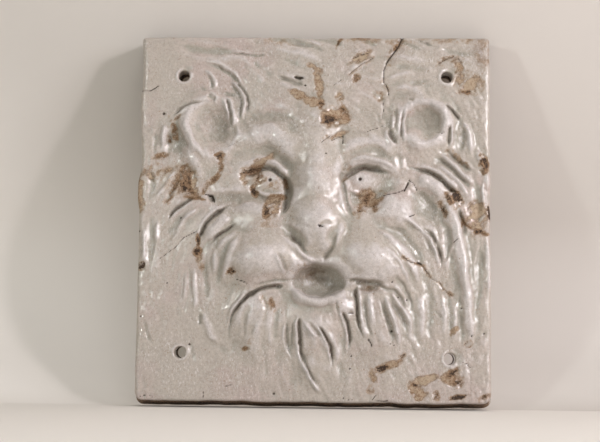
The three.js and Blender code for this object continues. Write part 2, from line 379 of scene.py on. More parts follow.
@dataclass
class Eyes:
    """Deep sockets under brows that run in bands, with almond eyes between heavy lids."""

    socket: float = 9.0
    ball: float = 6.5

    def moves(self) -> list[Move]:
        """Left eye, then right eye, each from the brow down."""
        return [
            Stroke((-72, 52), (-11, 40), 21, 8.5, 5.5, head=0.35, tail=0.25),
            Mound((-37, 28), (27, 26), -self.socket),
            Stroke((-58, 50), (-19, 36), 10.5, 3.6, -3.6, head=0.4, tail=0.2),
            Mound((-36, 28), (19, 14), self.ball),
            Stroke((-61, 38), (-20, 29), 12.5, 2.4, 2.8, head=0.3, tail=0.2),
            Stroke((-57, 32), (-21.5, 25), 10.8, 1.5, -5.2, head=0.12, tail=0.1),
            Stroke((-24, 34), (-30, -3), 6.5, 2.2, -7, head=0.2, tail=0.35),
            Stroke((-50, 23), (-23, 18.5), -3.6, 1.5, 3.2, head=0.2, tail=0.2),
            Stroke((-46, 18), (-25, 13.5), -3.2, 1.3, -1.4, head=0.2, tail=0.2),
            Stroke((-44, 14), (-27, 10), -3, 2.2, 1.2),
            Stroke((18, 40), (80, 44), 18, 8, 4.5, head=0.25, tail=0.35),
            Mound((41, 26), (29, 25), -self.socket),
            Stroke((20, 44), (64, 48), 8, 3.4, -2.8),
            Mound((39, 28), (20, 13), self.ball),
            Stroke((23, 37), (65, 40), 6.5, 2.2, 2.6, head=0.2, tail=0.3),
            Stroke((22.5, 28), (62, 35), 8.2, 1.5, -5.4, head=0.12, tail=0.3),
            Stroke((23, 37), (32, -4), -3, 1.6, -4, head=0.1, tail=0.3),
            Stroke((27, 24), (46, 20), -3, 1.3, 1.8),
            Stroke((30, 19), (48, 16), -3, 1.2, -1.2),
            Stroke((34, 14.5), (43, 22.5), 0.5, 0.8, -1.4),
            Stroke((26, 43), (58, 45), 3, 1.3, 2),
            Stroke((51, 47), (68, 36), 1.5, 1.5, 1.8),
            Stroke((50, 42), (66, 35), 0.8, 1.2, 1.2),
            Stroke((63, 50), (68, 38), 0, 1.8, 1.6),
            Stroke((71, 49), (73, 38), -0.6, 1.6, 1.6),
        ]


@dataclass
class Muzzle:
    """Full whisker pads over a round open mouth like a dish."""

    pad: float = 12.0
    mouth_at: Pair = (4.8, -52.2)
    mouth_half: Pair = (22.0, 14.8)
    mouth_depth: float = 13.0

    def moves(self) -> list[Move]:
        """Cheeks, pads, the lines round them, and the mouth."""
        return [
            Mound((-42, 2), (25, 18), 3.5, turn=10),
            Mound((64, 5), (22, 17), 7.5, turn=-14),
            Mound((40, -2), (18, 13), 2.5),
            Mound((92, 8), (21, 14), -6, turn=-50),
            Mound((-44, -32), (46, 33), self.pad, turn=6, crown=2),
            Mound((-40, -38), (32, 18), 3.5, turn=2),
            Mound((46, -32), (50, 34), self.pad, turn=-20, crown=2),
            Mound((46, -38), (34, 18), 3.5, turn=-14),
            Stroke((-29.5, -29), (-22, -49), 1.5, 1.1, -2.2, lip=-1.6, lean=-0.6),
            Stroke((-24, -30), (-19, -48), 1, 2.4, -1),
            Stroke((-58, -12), (-73, -58), -3, 2.2, 2.4, lean=-0.5),
            Stroke((-65, -20), (-78, -56), -2, 2.4, -0.6),
            Stroke((-23, -56), (-67, -108), -18, 1.2, -5, lip=-1.6, lean=-0.4, head=0.06, tail=0.6),
            Stroke((-30, -56), (-58, -72), -5, 1.9, -2.6, head=0.3, tail=0.3),
            Stroke((-15, -52), (-50, -57), -1.2, 0.9, -2, head=0.05, tail=0.5),
            Mound((43, -56.5), (10, 4.5), -4.2, turn=-4),
            Stroke((33, -54), (60, -55), 2.2, 1.4, -3.4, lean=0.5, head=0.1, tail=0.3),
            Stroke((26, -51), (68, -62), 2.8, 1.1, -2.6, lip=1, lean=0.4, head=0.1, tail=0.3),
            Stroke((58, -54), (76, -76), 2, 1.6, -2.4, lip=1.2, lean=0.5),
            Stroke((46, -9), (86, -62), 9, 2.6, 2.8, lean=-0.4),
            Stroke((50, -14), (84, -50), 6.5, 1.3, -1.4),
            Stroke((52, -22), (78, -60), 6, 1.4, 1.6),
            Stroke((60, -44), (80, -77), 4.5, 1.2, -2, lean=0.4),
            Dish(self.mouth_at, self.mouth_half, self.mouth_depth, 1),
            Mound((4, -45.5), (18, 8), -3.4),
            Stroke((-18, -57), (28, -57), -12.5, 4.2, 5, head=0.15, tail=0.15),
            Stroke((-14, -66), (22, -68), -7, 1.4, -1.4),
        ]


@dataclass
class Beard:
    """A forked middle tuft between two broad lobes."""

    lobe: float = 6.0

    def moves(self) -> list[Move]:
        """Chin, tuft and lobes, and the grooves that part the locks."""
        return [
            Mound((3, -84), (34, 26), 6),
            Mound((3, -108), (22, 36), 3.5),
            Mound((-44, -84), (26, 38), self.lobe, turn=6),
            Mound((54, -84), (28, 44), 4.5, turn=18),
            Mound((25, -72), (13, 14), 4.5),
            Stroke((35.5, -56), (43, -102), -3, 1.2, -4.6, lip=1.4, lean=0.5, head=0.12, tail=0.5),
            Stroke((41, -62), (49, -100), -2, 1.4, -2, lean=0.5),
            Stroke((44, -60), (50, -90), -1, 1.6, 1.6),
            Stroke((56, -62), (69, -108), 3, 1.5, 3.2, lean=-0.5, head=0.2),
            Stroke((52, -64), (65, -106), 2.5, 1.6, -2.4),
            Stroke((60, -59), (80, -95), 4, 1.4, 3.2, lean=-0.5, head=0.2),
            Stroke((58, -64), (76, -98), 4, 1.5, -2.4),
            Stroke((72, -84), (86, -110), 1, 2.4, 1.2),
            Stroke((-19.5, -83), (-15.5, -116), -3, 1, -2.2, lip=-1.2, lean=-0.5),
            Stroke((-14, -83), (-15.5, -112), -2, 0.8, -1.4),
            Stroke((-10, -81), (-4, -124), -3.6, 1.2, -4.2, lip=-1.4, lean=-0.6, head=0.12),
            Stroke((-9, -110), (8, -142), -2.2, 1.1, 2.6, lean=0.5, head=0.3, tail=0.2),
            Stroke((-7, -108), (6, -138), -2.2, 1.1, -2, head=0.3),
            Stroke((-8, -83), (5, -100), -1.4, 1, 2.6, lean=-0.5),
            Stroke((-4, -84), (9, -99), -1, 1, -1.6),
            Stroke((3.5, -88), (15, -122), 4.6, 1, -4, lip=-1.8, lean=-0.5, head=0.2),
            Stroke((10, -92), (20, -118), 4, 1.8, 1.2),
            Stroke((21, -76), (28.5, -108), 4, 1, -4.2, lip=-1.8, lean=-0.5, head=0.15),
            Stroke((27.5, -78), (33, -78), 0.2, 0.8, -1.6),
            Stroke((18.5, -66), (20.5, -83), -0.6, 0.8, -1.6),
            Stroke((-26, -70), (-30, -105), -2, 2.5, -1.6),
            Stroke((-42, -62), (-36, -78), 1, 1.8, -1.4),
            Stroke((-50, -66), (-54, -100), -2, 2, -1.2),
            Stroke((-36, -84), (-40, -118), -1, 2.4, -0.9),
            Stroke((-20, -118), (-14, -140), -1, 2.4, -0.8),
            Stroke((22, -112), (24, -138), 1, 2.4, -0.8),
        ]


@dataclass
class Ears:
    """Cupped ears that stand out of the mane: the left one leans, the right one is round."""

    rise: float = 9.0
    cup: float = 11.0

    def moves(self) -> list[Move]:
        """Left ear, then right ear, with the folds against them."""
        return [
            Mound((-90, 70), (32, 36), self.rise, turn=-8),
            Mound((-84, 73), (22, 25), -self.cup, turn=14, crown=1.35),
            Mound((-79, 70), (10, 16), -3, turn=10),
            Stroke((-106, 82), (-90, 49), -4, 2.6, 3.8, lean=0.3),
            Stroke((-112, 84), (-103, 56), -5, 2.2, -2.2),
            Mound((-111, 61), (14, 16), -4.5, turn=10),
            Stroke((-74, 97), (-69.5, 72), 3.4, 1, -2, lip=1.8, lean=0.4, head=0.15, tail=0.2),
            Stroke((-77, 96), (-72, 76), 3, 1, 1.8),
            Stroke((-118, 80), (-90, 94), 4, 1, -2.8, lip=-1.2, lean=-0.4),
            Mound((88, 76), (32, 34), self.rise),
            Dish((88, 77), (17, 17), self.cup - 1, 0.6, wall=2),
            Mound((82, 64), (11, 9), 2.6, turn=30),
            Stroke((73.5, 91), (72, 60), -1.5, 0.9, -2.6, lip=1.4, lean=0.3),
            Stroke((77, 90), (75.5, 66), -1, 0.8, -1.4),
            Stroke((92, 97), (104, 58), 10, 3.8, 3.2, tail=0.4),
            Stroke((97, 69), (105, 67.5), 0.3, 0.7, -1.2),
            Stroke((103, 94), (119, 80), 0.8, 1.2, -3.4, lip=1.2, lean=0.4, tail=0.15),
            Stroke((110, 77), (107.5, 57), 1, 1.2, -3, lip=1.6, lean=0.4),
            Stroke((119, 82), (126, 50), 3.4, 2, 2.8),
            Stroke((121, 76), (118, 52), 1, 1.8, -1.8),
            Stroke((60, 74), (68, 58), -2.2, 1.6, -3.4, lip=-2, lean=-0.5),
            Stroke((64, 86), (61, 70), 1, 1.5, 1.8),
            Stroke((66, 92), (67, 70), -1, 1.5, -1.4),
            Stroke((62, 104), (92, 97), 6, 3.2, 2),
            Stroke((75, 97.5), (82, 97), -0.6, 0.9, -2),
        ]


@dataclass
class Mane:
    """Loose locks that run out from the face to the slab's edges."""

    def moves(self) -> list[Move]:
        """All locks, by the side of the head that they are on."""
        return self.crown() + self.left() + self.right()

    def crown(self) -> list[Move]:
        """Locks across the top."""
        return [
            Stroke((-44, 147), (-2, 139), 3, 2.2, -2.4, tail=0.4),
            Stroke((-24, 149), (10, 134), 2, 2, -1.8),
            Stroke((-44, 139), (14, 126), 3, 3.4, 1.4),
            Stroke((-6, 149), (26, 139), 2, 2, -2),
            Stroke((-30, 131), (-6, 119), 1.5, 2, -1.2),
            Stroke((-34, 117), (-6, 107), -0.8, 1.6, -3, lean=0.4),
            Stroke((-17.5, 114.2), (-10, 113), 0, 1, -3, head=0.2, tail=0.2),
            Stroke((-58, 130), (-38, 108), -2, 2, 1.6),
            Stroke((-52, 132), (-32, 112), -2, 1.8, -1.2),
            Stroke((-72, 136.5), (-41, 133.5), -1, 0.8, -1.8, lip=1, lean=0.4, head=0.3, tail=0.05),
            Stroke((-118, 143), (-60, 137), -3, 3.4, -2.2),
            Stroke((-84, 132), (-52, 126), 2, 3, 1.2),
            Stroke((-60, 127), (-44, 105), 3, 2.2, -1),
            Stroke((24, 149), (54, 142), 0.5, 2.2, -1.8),
            Stroke((30, 137), (52, 132), 0.5, 2.2, 1.2),
            Stroke((27, 120), (46, 133), -1, 1.6, 1.2),
            Stroke((44, 104), (58, 92), 1, 2.2, -1.4),
            Stroke((64, 149), (90, 139), -1.2, 1.6, -1.6),
            Stroke((80, 149), (96, 143), -1.2, 0.9, -1.8),
            Stroke((86, 146), (104, 138), 0.4, 0.9, -1.2),
            Stroke((53, 134), (94, 127), 1.5, 3, 1),
            Stroke((60, 124), (96, 119), 1.5, 2.4, -1),
            Stroke((58, 112), (80, 119), 2, 2, 1.2),
            Stroke((76, 108), (96, 112), 2, 1.8, -1),
            Stroke((98, 142), (136, 136), -2, 2.6, -1.6),
        ]

    def left(self) -> list[Move]:
        """Locks over, behind and below the left ear."""
        return [
            Stroke((-97, 126), (-58, 104), 7, 1.3, -1.8, lip=1.4, lean=0.5, head=0.4),
            Stroke((-71, 111), (-62, 76), 6, 0.9, -1.3, head=0.2, tail=0.25),
            Stroke((-70, 113), (-60, 76), 7, 1.1, 3, head=0.2, tail=0.25),
            Stroke((-67, 112), (-57, 80), 6.5, 0.9, -1.8, lean=0.4, head=0.2, tail=0.25),
            Stroke((-92, 121), (-82, 103), 3.5, 1.2, 2),
            Stroke((-90, 118), (-86, 104), 2.5, 1.6, -1.2),
            Stroke((-76, 102), (-66, 98.5), -0.6, 1.3, -2.4),
            Stroke((-89, 100), (-81.5, 95), 0, 1.8, -2.4, head=0.2, tail=0.2),
            Stroke((-96, 106), (-90, 104.5), 0, 1, -1.4),
            Stroke((-124, 77), (-125, 54), 1, 1.6, 2.8),
            Stroke((-119, 70), (-119, 58), 0, 1.4, -2.6),
            Stroke((-130, 70), (-131, 48), 0, 1.6, -1.4),
            Stroke((-100, 50), (-92, 28), 1, 3.4, 2),
            Stroke((-108, 38), (-123, 8), 1, 1.4, -1.8),
            Stroke((-112, 40), (-130, 12), 1, 1.6, 1.6),
            Stroke((-134, 40), (-136, 8), 3, 2, -1.6),
            Stroke((-119, -5), (-97, 13), 3.6, 1.1, -3.8, lip=-1.8, lean=-0.4, tail=0.1),
            Stroke((-112, -14), (-92, 6), 3, 1.6, 1.8),
            Stroke((-106, -4), (-94, 5), 0.6, 0.9, 1.4),
            Stroke((-85.5, 17.5), (-81.5, 11), 0.5, 1.5, -3.6, head=0.2, tail=0.2),
            Stroke((-66, 9), (-94, -22), -5.4, 1.3, -5, lip=-1, lean=-0.4, head=0.3, tail=0.2),
            Stroke((-66, 1), (-88, -22), -2, 3.4, 3.8, head=0.25),
            Stroke((-63, -7), (-84, -22), -0.8, 1, -3.6, lip=-1.2, head=0.25, tail=0.3),
            Stroke((-59, -12), (-80, -30), -1, 2, 1.8),
            Mound((-68, 14), (22, 8), -3.2, turn=4),
            Stroke((-96, -40), (-94, -78), -0.6, 1.6, 1.6),
            Stroke((-88, -35), (-86, -70), 0.6, 2.2, -1.4),
            Stroke((-80, -26), (-79, -48), 0.4, 2, 2),
            Stroke((-138, -8), (-137, -40), 0, 1.1, 1.8),
            Stroke((-126, -4), (-128, -22), 0, 1.6, 1.8),
            Stroke((-132, 4), (-133, -42), 0.8, 2.4, -1.4),
            Stroke((-103, 6), (-118, -22), -2, 2.2, -1.2),
            Stroke((-104, -46), (-104, -72), 0.5, 1.4, 1),
            Stroke((-91.5, -78), (-90, -90), -1, 0.9, -1.6),
            Stroke((-90, -74), (-74, -108), -1.8, 2.2, 1.4),
            Stroke((-84, -98), (-66, -112), -1, 2.2, -0.9),
            Stroke((-137, -84), (-129, -106), -1, 1.4, -1.2),
            Stroke((-98, -100), (-95, -120), 0.4, 1.2, -0.8),
        ]

    def right(self) -> list[Move]:
        """Locks that fan out and down from the right cheek."""
        return [
            Stroke((72, 41), (115, 19), 5.6, 1.5, -5, lip=1.8, lean=0.5, head=0.4, tail=0.1),
            Stroke((80, 32), (106, 17), 3, 4.5, 3.2),
            Stroke((96, 44), (124, 14), 5, 1.5, 2.4, lean=0.3),
            Stroke((93, 50), (127, 20), 5, 1.3, -2.2),
            Stroke((101, 52), (130, 24), 2, 1.4, 2.8, head=0.2),
            Stroke((80, 20), (100, 2), 3, 2.6, -2),
            Stroke((58, -8), (88, -40), 4, 3.6, -4),
            Stroke((68, 0), (101, -44), 10, 1.5, 3, lean=-0.5, head=0.2),
            Stroke((84, -6), (104, -42), 6, 1.4, -3.4, lean=0.5, head=0.2),
            Stroke((92, -8), (100, -30), 3, 1.2, 1.4),
            Stroke((102, 0), (108, -42), 4, 2.6, -2),
            Stroke((112, -18), (106, -44), 1, 1.2, 1.6),
            Stroke((108, 26), (104, -5), 4, 2.8, 1.8),
            Stroke((110, 10), (122, -62), 3, 4.2, 4.4, lean=0.3, head=0.15),
            Stroke((119, -30), (127, -104), 1, 3.4, 3.4),
            Stroke((116.5, 8), (121.5, -16), 1.5, 1.1, -3, head=0.2),
            Stroke((106, 56), (130, 37), -1, 1.4, -2.8, lip=1),
            Stroke((128, 60), (141, 18), 3, 2, 2.4),
            Stroke((137, 34), (137, 0), -0.8, 1.1, 2.2),
            Stroke((128, 34), (134, -12), 2, 2.8, -1.6),
            Stroke((134, -20), (131, -76), 1, 2.4, -2),
            Stroke((139, -12), (140, -66), 1.2, 1.6, 1.6),
            Stroke((97, -71), (105, -82), -1, 0.7, -1.4),
            Stroke((90, -48), (94, -100), 2, 2.8, -1.4),
            Stroke((84, -58), (88, -108), 2, 2.6, 1.8),
            Stroke((102, -58), (106, -98), 1, 1.6, 1.2),
            Stroke((112, -62), (114, -100), 1, 1.6, 1.2),
            Stroke((107, -60), (110, -98), 1, 1.6, -1.2),
            Stroke((116, -70), (120, -104), 1, 1.4, -1.2),
        ]


@dataclass
class ScrewHoles:
    """One hole right through the slab near each corner, with the clay pushed up round it."""

    radius: float = 4.7
    rim: float = 1.0
    rim_share: float = 1.15
    places: tuple[Pair, ...] = ((-108, 115.5), (107.5, 115.5), (-106.5, -110.5), (109.5, -113.5))

    def moves(self) -> list[Move]:
        """Rims, and the dents that the piercing tool left beside three of them."""
        size = self.radius * self.rim_share
        return [
            *(Dish(at, (size, size), 0.0, self.rim) for at in self.places),
            Mound((-106, 120.5), (6, 5), -2),
            Mound((110.5, 118), (8, 8), -2.2),
            Mound((112.5, -111.5), (9, 9), -2.2),
        ]


@dataclass
class LionHead:
    """All the modelling of the slab's face, gathered from the parts of the head.

    Heights in millimetres: stray and tremor are how far the moves wander, long_comb and short_comb are
    the comb's marks, dab is the fingers' and sway the slab's own unevenness. calm is the share of these
    marks that is left on the face and in the plain corners, which are ovals of centre and half sizes.
    """

    holes: ScrewHoles = field(default_factory=ScrewHoles)
    skull: Skull = field(default_factory=Skull)
    nose: Nose = field(default_factory=Nose)
    eyes: Eyes = field(default_factory=Eyes)
    muzzle: Muzzle = field(default_factory=Muzzle)
    beard: Beard = field(default_factory=Beard)
    ears: Ears = field(default_factory=Ears)
    mane: Mane = field(default_factory=Mane)
    stray: float = 0.8
    tremor: float = 0.4
    long_comb: float = 0.32
    short_comb: float = 0.3
    dab: float = 0.35
    sway: float = 0.5
    calm: float = 0.35
    near: float = 4.0
    face: tuple[Pair, Pair] = ((2, -5), (62, 78))
    plain_corners: tuple[tuple[Pair, Pair], ...] = (((-118, 125), (38, 42)), ((-95, -118), (52, 42)))

    def drift(self, x: np.ndarray, z: np.ndarray, seed: int) -> np.ndarray:
        """How far the hand strayed from each move's line, in broad waves and small ones."""
        return self.stray * fractal(x, z, 12.0, 2, seed) + self.tremor * value_noise(x, z, 3.4, seed + 2)

    def hairy(self, x: np.ndarray, z: np.ndarray) -> np.ndarray:
        """Share of the comb's and the fingers' marks: full in the hair, low on the face and plain corners.

        Args:
            x, z: places across and up.

        Returns:
            The share at every place.
        """
        face = ease((oval(*self.face, 0.0, x, z) - 0.7) / 0.5)
        corners = np.minimum(*(oval(*corner, 0.0, x, z) for corner in self.plain_corners))
        plain = ease((corners - 0.6) / 0.6)
        return (self.calm + (1.0 - self.calm) * face) * (self.calm + (1.0 - self.calm) * plain)

    def height(self, x: np.ndarray, z: np.ndarray) -> np.ndarray:
        """Height of the modelled clay over the slab, with the unevenness that hands leave.

        Args:
            x, z: places across and up the face.

        Returns:
            The height at every place, in millimetres.
        """
        parts = (self.skull, self.nose, self.eyes, self.muzzle, self.beard, self.ears, self.mane)
        moves = [move for part in parts for move in part.moves()]
        strayed_x, strayed_z = x + self.drift(x, z, 81), z + self.drift(x, z, 85)
        total = sum((move.lift(strayed_x, strayed_z) for move in moves), np.zeros_like(x))
        total = sum((move.lift(x, z) for move in self.holes.moves()), total)
        angle = self.lie(x, z, [move for move in moves if isinstance(move, Stroke)])
        combed = self.long_comb * drawn_out(x, z, angle, 8.0, 3.4, seed=23)
        combed = combed + self.short_comb * drawn_out(x, z, angle, 3.5, 1.7, seed=24)
        rough = 0.5 + 0.5 * value_noise(x, z, 30.0, seed=33)
        dabs = self.dab * fractal(x, z, 5.5, 3, seed=31) * (self.calm + (1.0 - self.calm) * rough)
        broad = self.sway * fractal(x, z, 26.0, 3, seed=11)
        return total + broad + self.hairy(x, z) * (combed + dabs)

    def lie(self, x: np.ndarray, z: np.ndarray, strokes: list[Stroke]) -> np.ndarray:
        """Direction in which the hair lies: the mean of the strokes', each weighted by nearness.

        A stroke at distance d weighs 1 / (d + near)^3. Directions are added as double angles, because
        a stroke has no front end, and where there is none the hair hangs straight down.

        Args:
            x, z: places across and up.
            strokes: the strokes to follow.

        Returns:
            Angles from x, in radians.
        """
        cosine, sine = np.full_like(x, -1e-6), np.zeros_like(x)
        for stroke in strokes:
            _, dx, dz = from_line(stroke.start, stroke.end, x, z)
            weight = (np.hypot(dx, dz) + self.near) ** -3
            double = 2.0 * math.atan2(stroke.end[1] - stroke.start[1], stroke.end[0] - stroke.start[0])
            cosine, sine = cosine + weight * math.cos(double), sine + weight * math.sin(double)
        return 0.5 * np.arctan2(sine, cosine)


# ---- wear ----


class Tone(Enum):
    """How dark bared clay is: 0 is pale tan and 1 nearly black."""

    BUFF = 0.0
    TAN = 0.2
    BROWN = 0.42
    DARK = 0.8
    # Near black for the screw holes' walls: painted shade inside the holes.
    PAINTED_SHADE = 0.9


@dataclass(frozen=True)
class Chip:
    """An oval patch where the glaze has come off the clay; strength below 1 leaves it in specks.

    turn is degrees from x to the first half size, anticlockwise.
    """

    at: Pair
    half: Pair
    tone: Tone
    turn: float = 0.0
    strength: float = 1.0

    def share(self, x: np.ndarray, z: np.ndarray) -> np.ndarray:
        """How surely the glaze is gone at every place: strength * (1.3 - r^2), and 0 from r^2 = 1.3."""
        r = oval(self.at, self.half, self.turn, x, z)
        return self.strength * np.maximum(0.0, 1.3 - r**2)


@dataclass(frozen=True)
class Crack:
    """An open crack or a scratch, straight from point to point, whose sides wander a little.

    stain is how strongly the glaze beside it has come off, from 0 to 1.
    """

    points: tuple[Pair, ...]
    width: float = 0.6
    depth: float = 0.8
    tone: Tone = Tone.DARK
    stain: float = 0.0

    def gap(self, x: np.ndarray, z: np.ndarray) -> np.ndarray:
        """Distance of every place from the crack: the least of those from its straight stretches.

        Args:
            x, z: places across and up.

        Returns:
            The distances, in millimetres.
        """
        best = np.full(x.shape, np.inf)
        for start, end in zip(self.points[:-1], self.points[1:]):
            _, dx, dz = from_line(start, end, x, z)
            best = np.minimum(best, np.hypot(dx, dz))
        return best


@dataclass(frozen=True)
class Wash:
    """A soft oval of glaze that stays whole, darker or duller by matt; the darkening is mostly painted shade
    of a hollow, and by the top crack a stain.
    """

    at: Pair
    half: Pair
    # How dark the wash makes the glaze: mostly painted shade, by the top crack a stain.
    dirt_and_painted_shade: float = 0.0
    matt: float = 0.0
    turn: float = 0.0

    def share(self, x: np.ndarray, z: np.ndarray) -> np.ndarray:
        """1 in the middle and 0 from the oval's edge outwards."""
        return ease(1.6 * (1.0 - oval(self.at, self.half, self.turn, x, z)))


@dataclass
class Wear:
    """Where the glaze has chipped off, cracked or pitted since the plaque was fired.

    Millimetres: chip_depth is the step at a chip's edge, drift how far the ovals' outlines wander and
    tremor how far the cracks' do. notch and streak roughen an outline, evenly and along the grain.
    tint is how firmly a chip brings its tone, and pit_depth a pit's depth in its radii.
    """

    chip_depth: float = 0.7
    drift: float = 1.3
    tremor: float = 0.5
    notch: float = 0.3
    streak: float = 0.4
    tint: float = 3.0
    pit_depth: float = 0.9
    grain: Pair = (0.8, 0.6)

    def chips(self) -> list[Chip]:
        """Patches of bared clay from the forehead clockwise: place, half sizes, tone, turn, strength."""
        buff, tan, brown, dark = Tone.BUFF, Tone.TAN, Tone.BROWN, Tone.DARK
        return [
            Chip((-14, 99), (11, 4.2), tan, -32),
            Chip((-2, 93), (9, 3.6), tan, -10),
            Chip((3, 108), (4, 17), tan, 6, 0.75),
            Chip((1, 122), (9, 3.5), tan, -32, 0.75),
            Chip((5, 91), (3.5, 6), brown, 0, 0.7),
            Chip((16, 81), (14, 10), tan, 10, 0.85),
            Chip((12, 78), (8, 5), brown, 15, 0.9),
            Chip((24, 86), (4, 10), brown, 24, 0.7),
            Chip((21, 99), (4.5, 5), tan, -20, 0.75),
            Chip((18, 66), (12, 3.5), tan, 24, 0.75),
            Chip((36, 131), (12, 5), buff, 34, 0.75),
            Chip((34, 114), (4.5, 3.5), brown, 30, 0.7),
            Chip((20, 144), (1.6, 7), brown, -24, 0.75),
            Chip((38, 147.5), (10, 3), brown, 0, 0.6),
            Chip((62, 133.5), (7, 4), tan, 10, 0.75),
            Chip((66, 140), (2.4, 9), brown, -26, 0.7),
            Chip((52, 99), (5, 5), brown, 0, 0.45),
            Chip((126, 110), (13, 11), buff, -20, 0.74),
            Chip((124, 103), (10, 3), brown, -6, 0.6),
            Chip((118, 121), (4, 11), tan, 24, 0.62),
            Chip((112, 131), (11, 3.2), tan, 6, 0.55),
            Chip((103, 127), (7, 3), tan, 30, 0.4),
            # This corner patch and the three long faint strips after it darken the top edge.
            Chip((138, 136), (9, 16), buff, 0, 0.42),
            Chip((112, 147), (36, 5), buff, 0, 0.36),
            Chip((50, 146), (36, 5), buff, 0, 0.3),
            Chip((-30, 144), (30, 5), buff, -8, 0.24),
            Chip((110, 53.5), (4, 4.5), tan, 30, 0.7),
            Chip((119, 47), (10, 2.2), tan, -38, 0.62),
            Chip((137.5, 44), (5.5, 10), brown, 8, 0.95),
            Chip((136, 42), (3, 6), dark, 8, 0.7),
            Chip((132, 1), (12, 17), buff, 0, 0.62),
            Chip((134, -12), (10, 2.2), brown, -14, 0.75),
            Chip((123, -5), (2, 9), brown, 36, 0.7),
            Chip((142, 5), (2, 8), dark, 0, 0.9),
            Chip((104, 6), (11, 4), brown, -58, 0.7),
            Chip((110, 14), (9, 3), brown, -58, 0.72),
            Chip((115.5, 17), (10, 4.5), dark, -62, 0.72),
            Chip((119.5, -3), (9, 1.5), brown, -78, 0.8),
            Chip((-50, 39.5), (14, 6), brown, 35, 0.75),
            Chip((-54, 36), (9, 2.4), dark, 35, 0.75),
            Chip((-42, 46.5), (15, 4.5), tan, 25, 0.6),
            Chip((-57, 29), (5, 6), tan, 0, 0.55),
            Chip((-46, 30), (6.5, 7), brown, 0, 0.7),
            Chip((-34, 27), (12, 8), tan, 0, 0.4),
            Chip((-23, 27), (3.2, 9), brown, 8, 0.5),
            Chip((-30, 15.5), (7.5, 3), brown, 0, 0.85),
            Chip((-31, 16), (5, 1.3), dark, 0, 0.8),
            Chip((-48.5, 20.5), (3.2, 6.5), brown, 20, 0.85),
            Chip((-33, 7), (8, 12), tan, -10, 0.7),
            Chip((-37, 2), (5, 8), brown, 10, 0.8),
            Chip((-36, -8), (8, 5), tan, 0, 0.35),
            Chip((45, 14), (12, 9), tan, -20, 0.9),
            Chip((42, 13), (3.5, 11), brown, -40, 0.8),
            Chip((37, 6), (6, 9), brown, -10, 0.75),
            Chip((49, 8), (4, 6), brown, -20, 0.7),
            Chip((56, 20), (4, 3), tan, 0, 0.6),
            Chip((26, 34), (4, 8), brown, -30, 0.42),
            # Faint brown in the mouth's upper half and under the right moustache: stain, and painted shade of
            # these hollows.
            Chip((-4, -46), (17, 8), tan, -8, 0.3),
            Chip((45, -57), (10, 4), brown, 0, 0.34),
            Chip((-102, 29), (17, 6.5), brown, 110, 0.9),
            Chip((-97, 27), (3, 9), tan, 6, 0.8),
            Chip((-105, 23), (4, 7), dark, 30, 0.7),
            Chip((-115, 22), (17, 4), brown, 62, 0.62),
            Chip((-120, 37), (13, 4), tan, 14, 0.45),
            Chip((-140, 35), (10, 4), tan, 52, 0.4),
            Chip((-97, 15), (11, 2.8), brown, -14, 0.8),
            Chip((-127, 49), (9, 3.6), brown, 10, 0.62),
            Chip((-130, 36), (9, 7), buff, 30, 0.55),
            Chip((-143, 18), (5.6, 18), tan, 0, 0.95),
            Chip((-77.5, 48.5), (5, 4), brown, 0, 0.75),
            Chip((-76, 40), (3, 9), brown, -4, 0.62),
            Chip((-82, 30), (9, 3.5), brown, 40, 0.72),
            Chip((-90, 21), (8, 3), brown, 36, 0.6),
            Chip((-109, 29), (18, 15), brown, 30, 0.36),
            Chip((-116, 71), (3, 13), brown, 14, 0.6),
            Chip((-119, 62), (2.4, 5), brown, 14, 0.6),
            Chip((-113, 80), (6, 2), brown, 48, 0.5),
            Chip((-94, -22), (1.6, 7), brown, 6, 0.85),
            Chip((-94, -29), (4.5, 3.5), brown, 0, 0.9),
            Chip((-90, -38), (4, 10), tan, 24, 0.45),
            Chip((-140, -42), (4.2, 4), dark, 0, 0.75),
            Chip((-66, -45.5), (4.6, 4.2), brown, 20, 0.75),
            Chip((-32, -71), (3, 7), brown, 16, 0.6),
            Chip((-39, -69), (7, 3), tan, -50, 0.5),
            Chip((-53, -107), (3.6, 2.4), brown, 0, 0.65),
            Chip((-50, -99), (4, 6), tan, 0, 0.42),
            Chip((59, -119.5), (14, 4.2), tan, 20, 0.85),
            Chip((71.5, -110.5), (5, 2.4), dark, 40, 0.85),
            Chip((54, -121), (8, 3), dark, 10, 0.7),
            Chip((48, -128), (3.5, 9), tan, 20, 0.6),
            Chip((47, -138), (3.5, 5), brown, 0, 0.5),
            Chip((89, -130), (13, 4), buff, 18, 1),
            Chip((82, -138), (9, 6), tan, -50, 1),
            Chip((87, -143), (7, 3.6), tan, 20, 0.8),
            Chip((110, -129), (11, 6), tan, -6, 0.9),
            Chip((112, -124.5), (8, 4), brown, 30, 0.8),
            Chip((116, -132), (7, 5), brown, -30, 0.75),
            Chip((117, -143.5), (11, 2.6), dark, 6, 0.65),
            Chip((98, -143), (5, 4), brown, 40, 0.6),
            Chip((138, -144), (6, 3), brown, 30, 0.75),
            Chip((113, -91), (5.5, 3), tan, 30, 0.7),
            Chip((124, -101), (4, 3.5), dark, 0, 0.5),
        ]

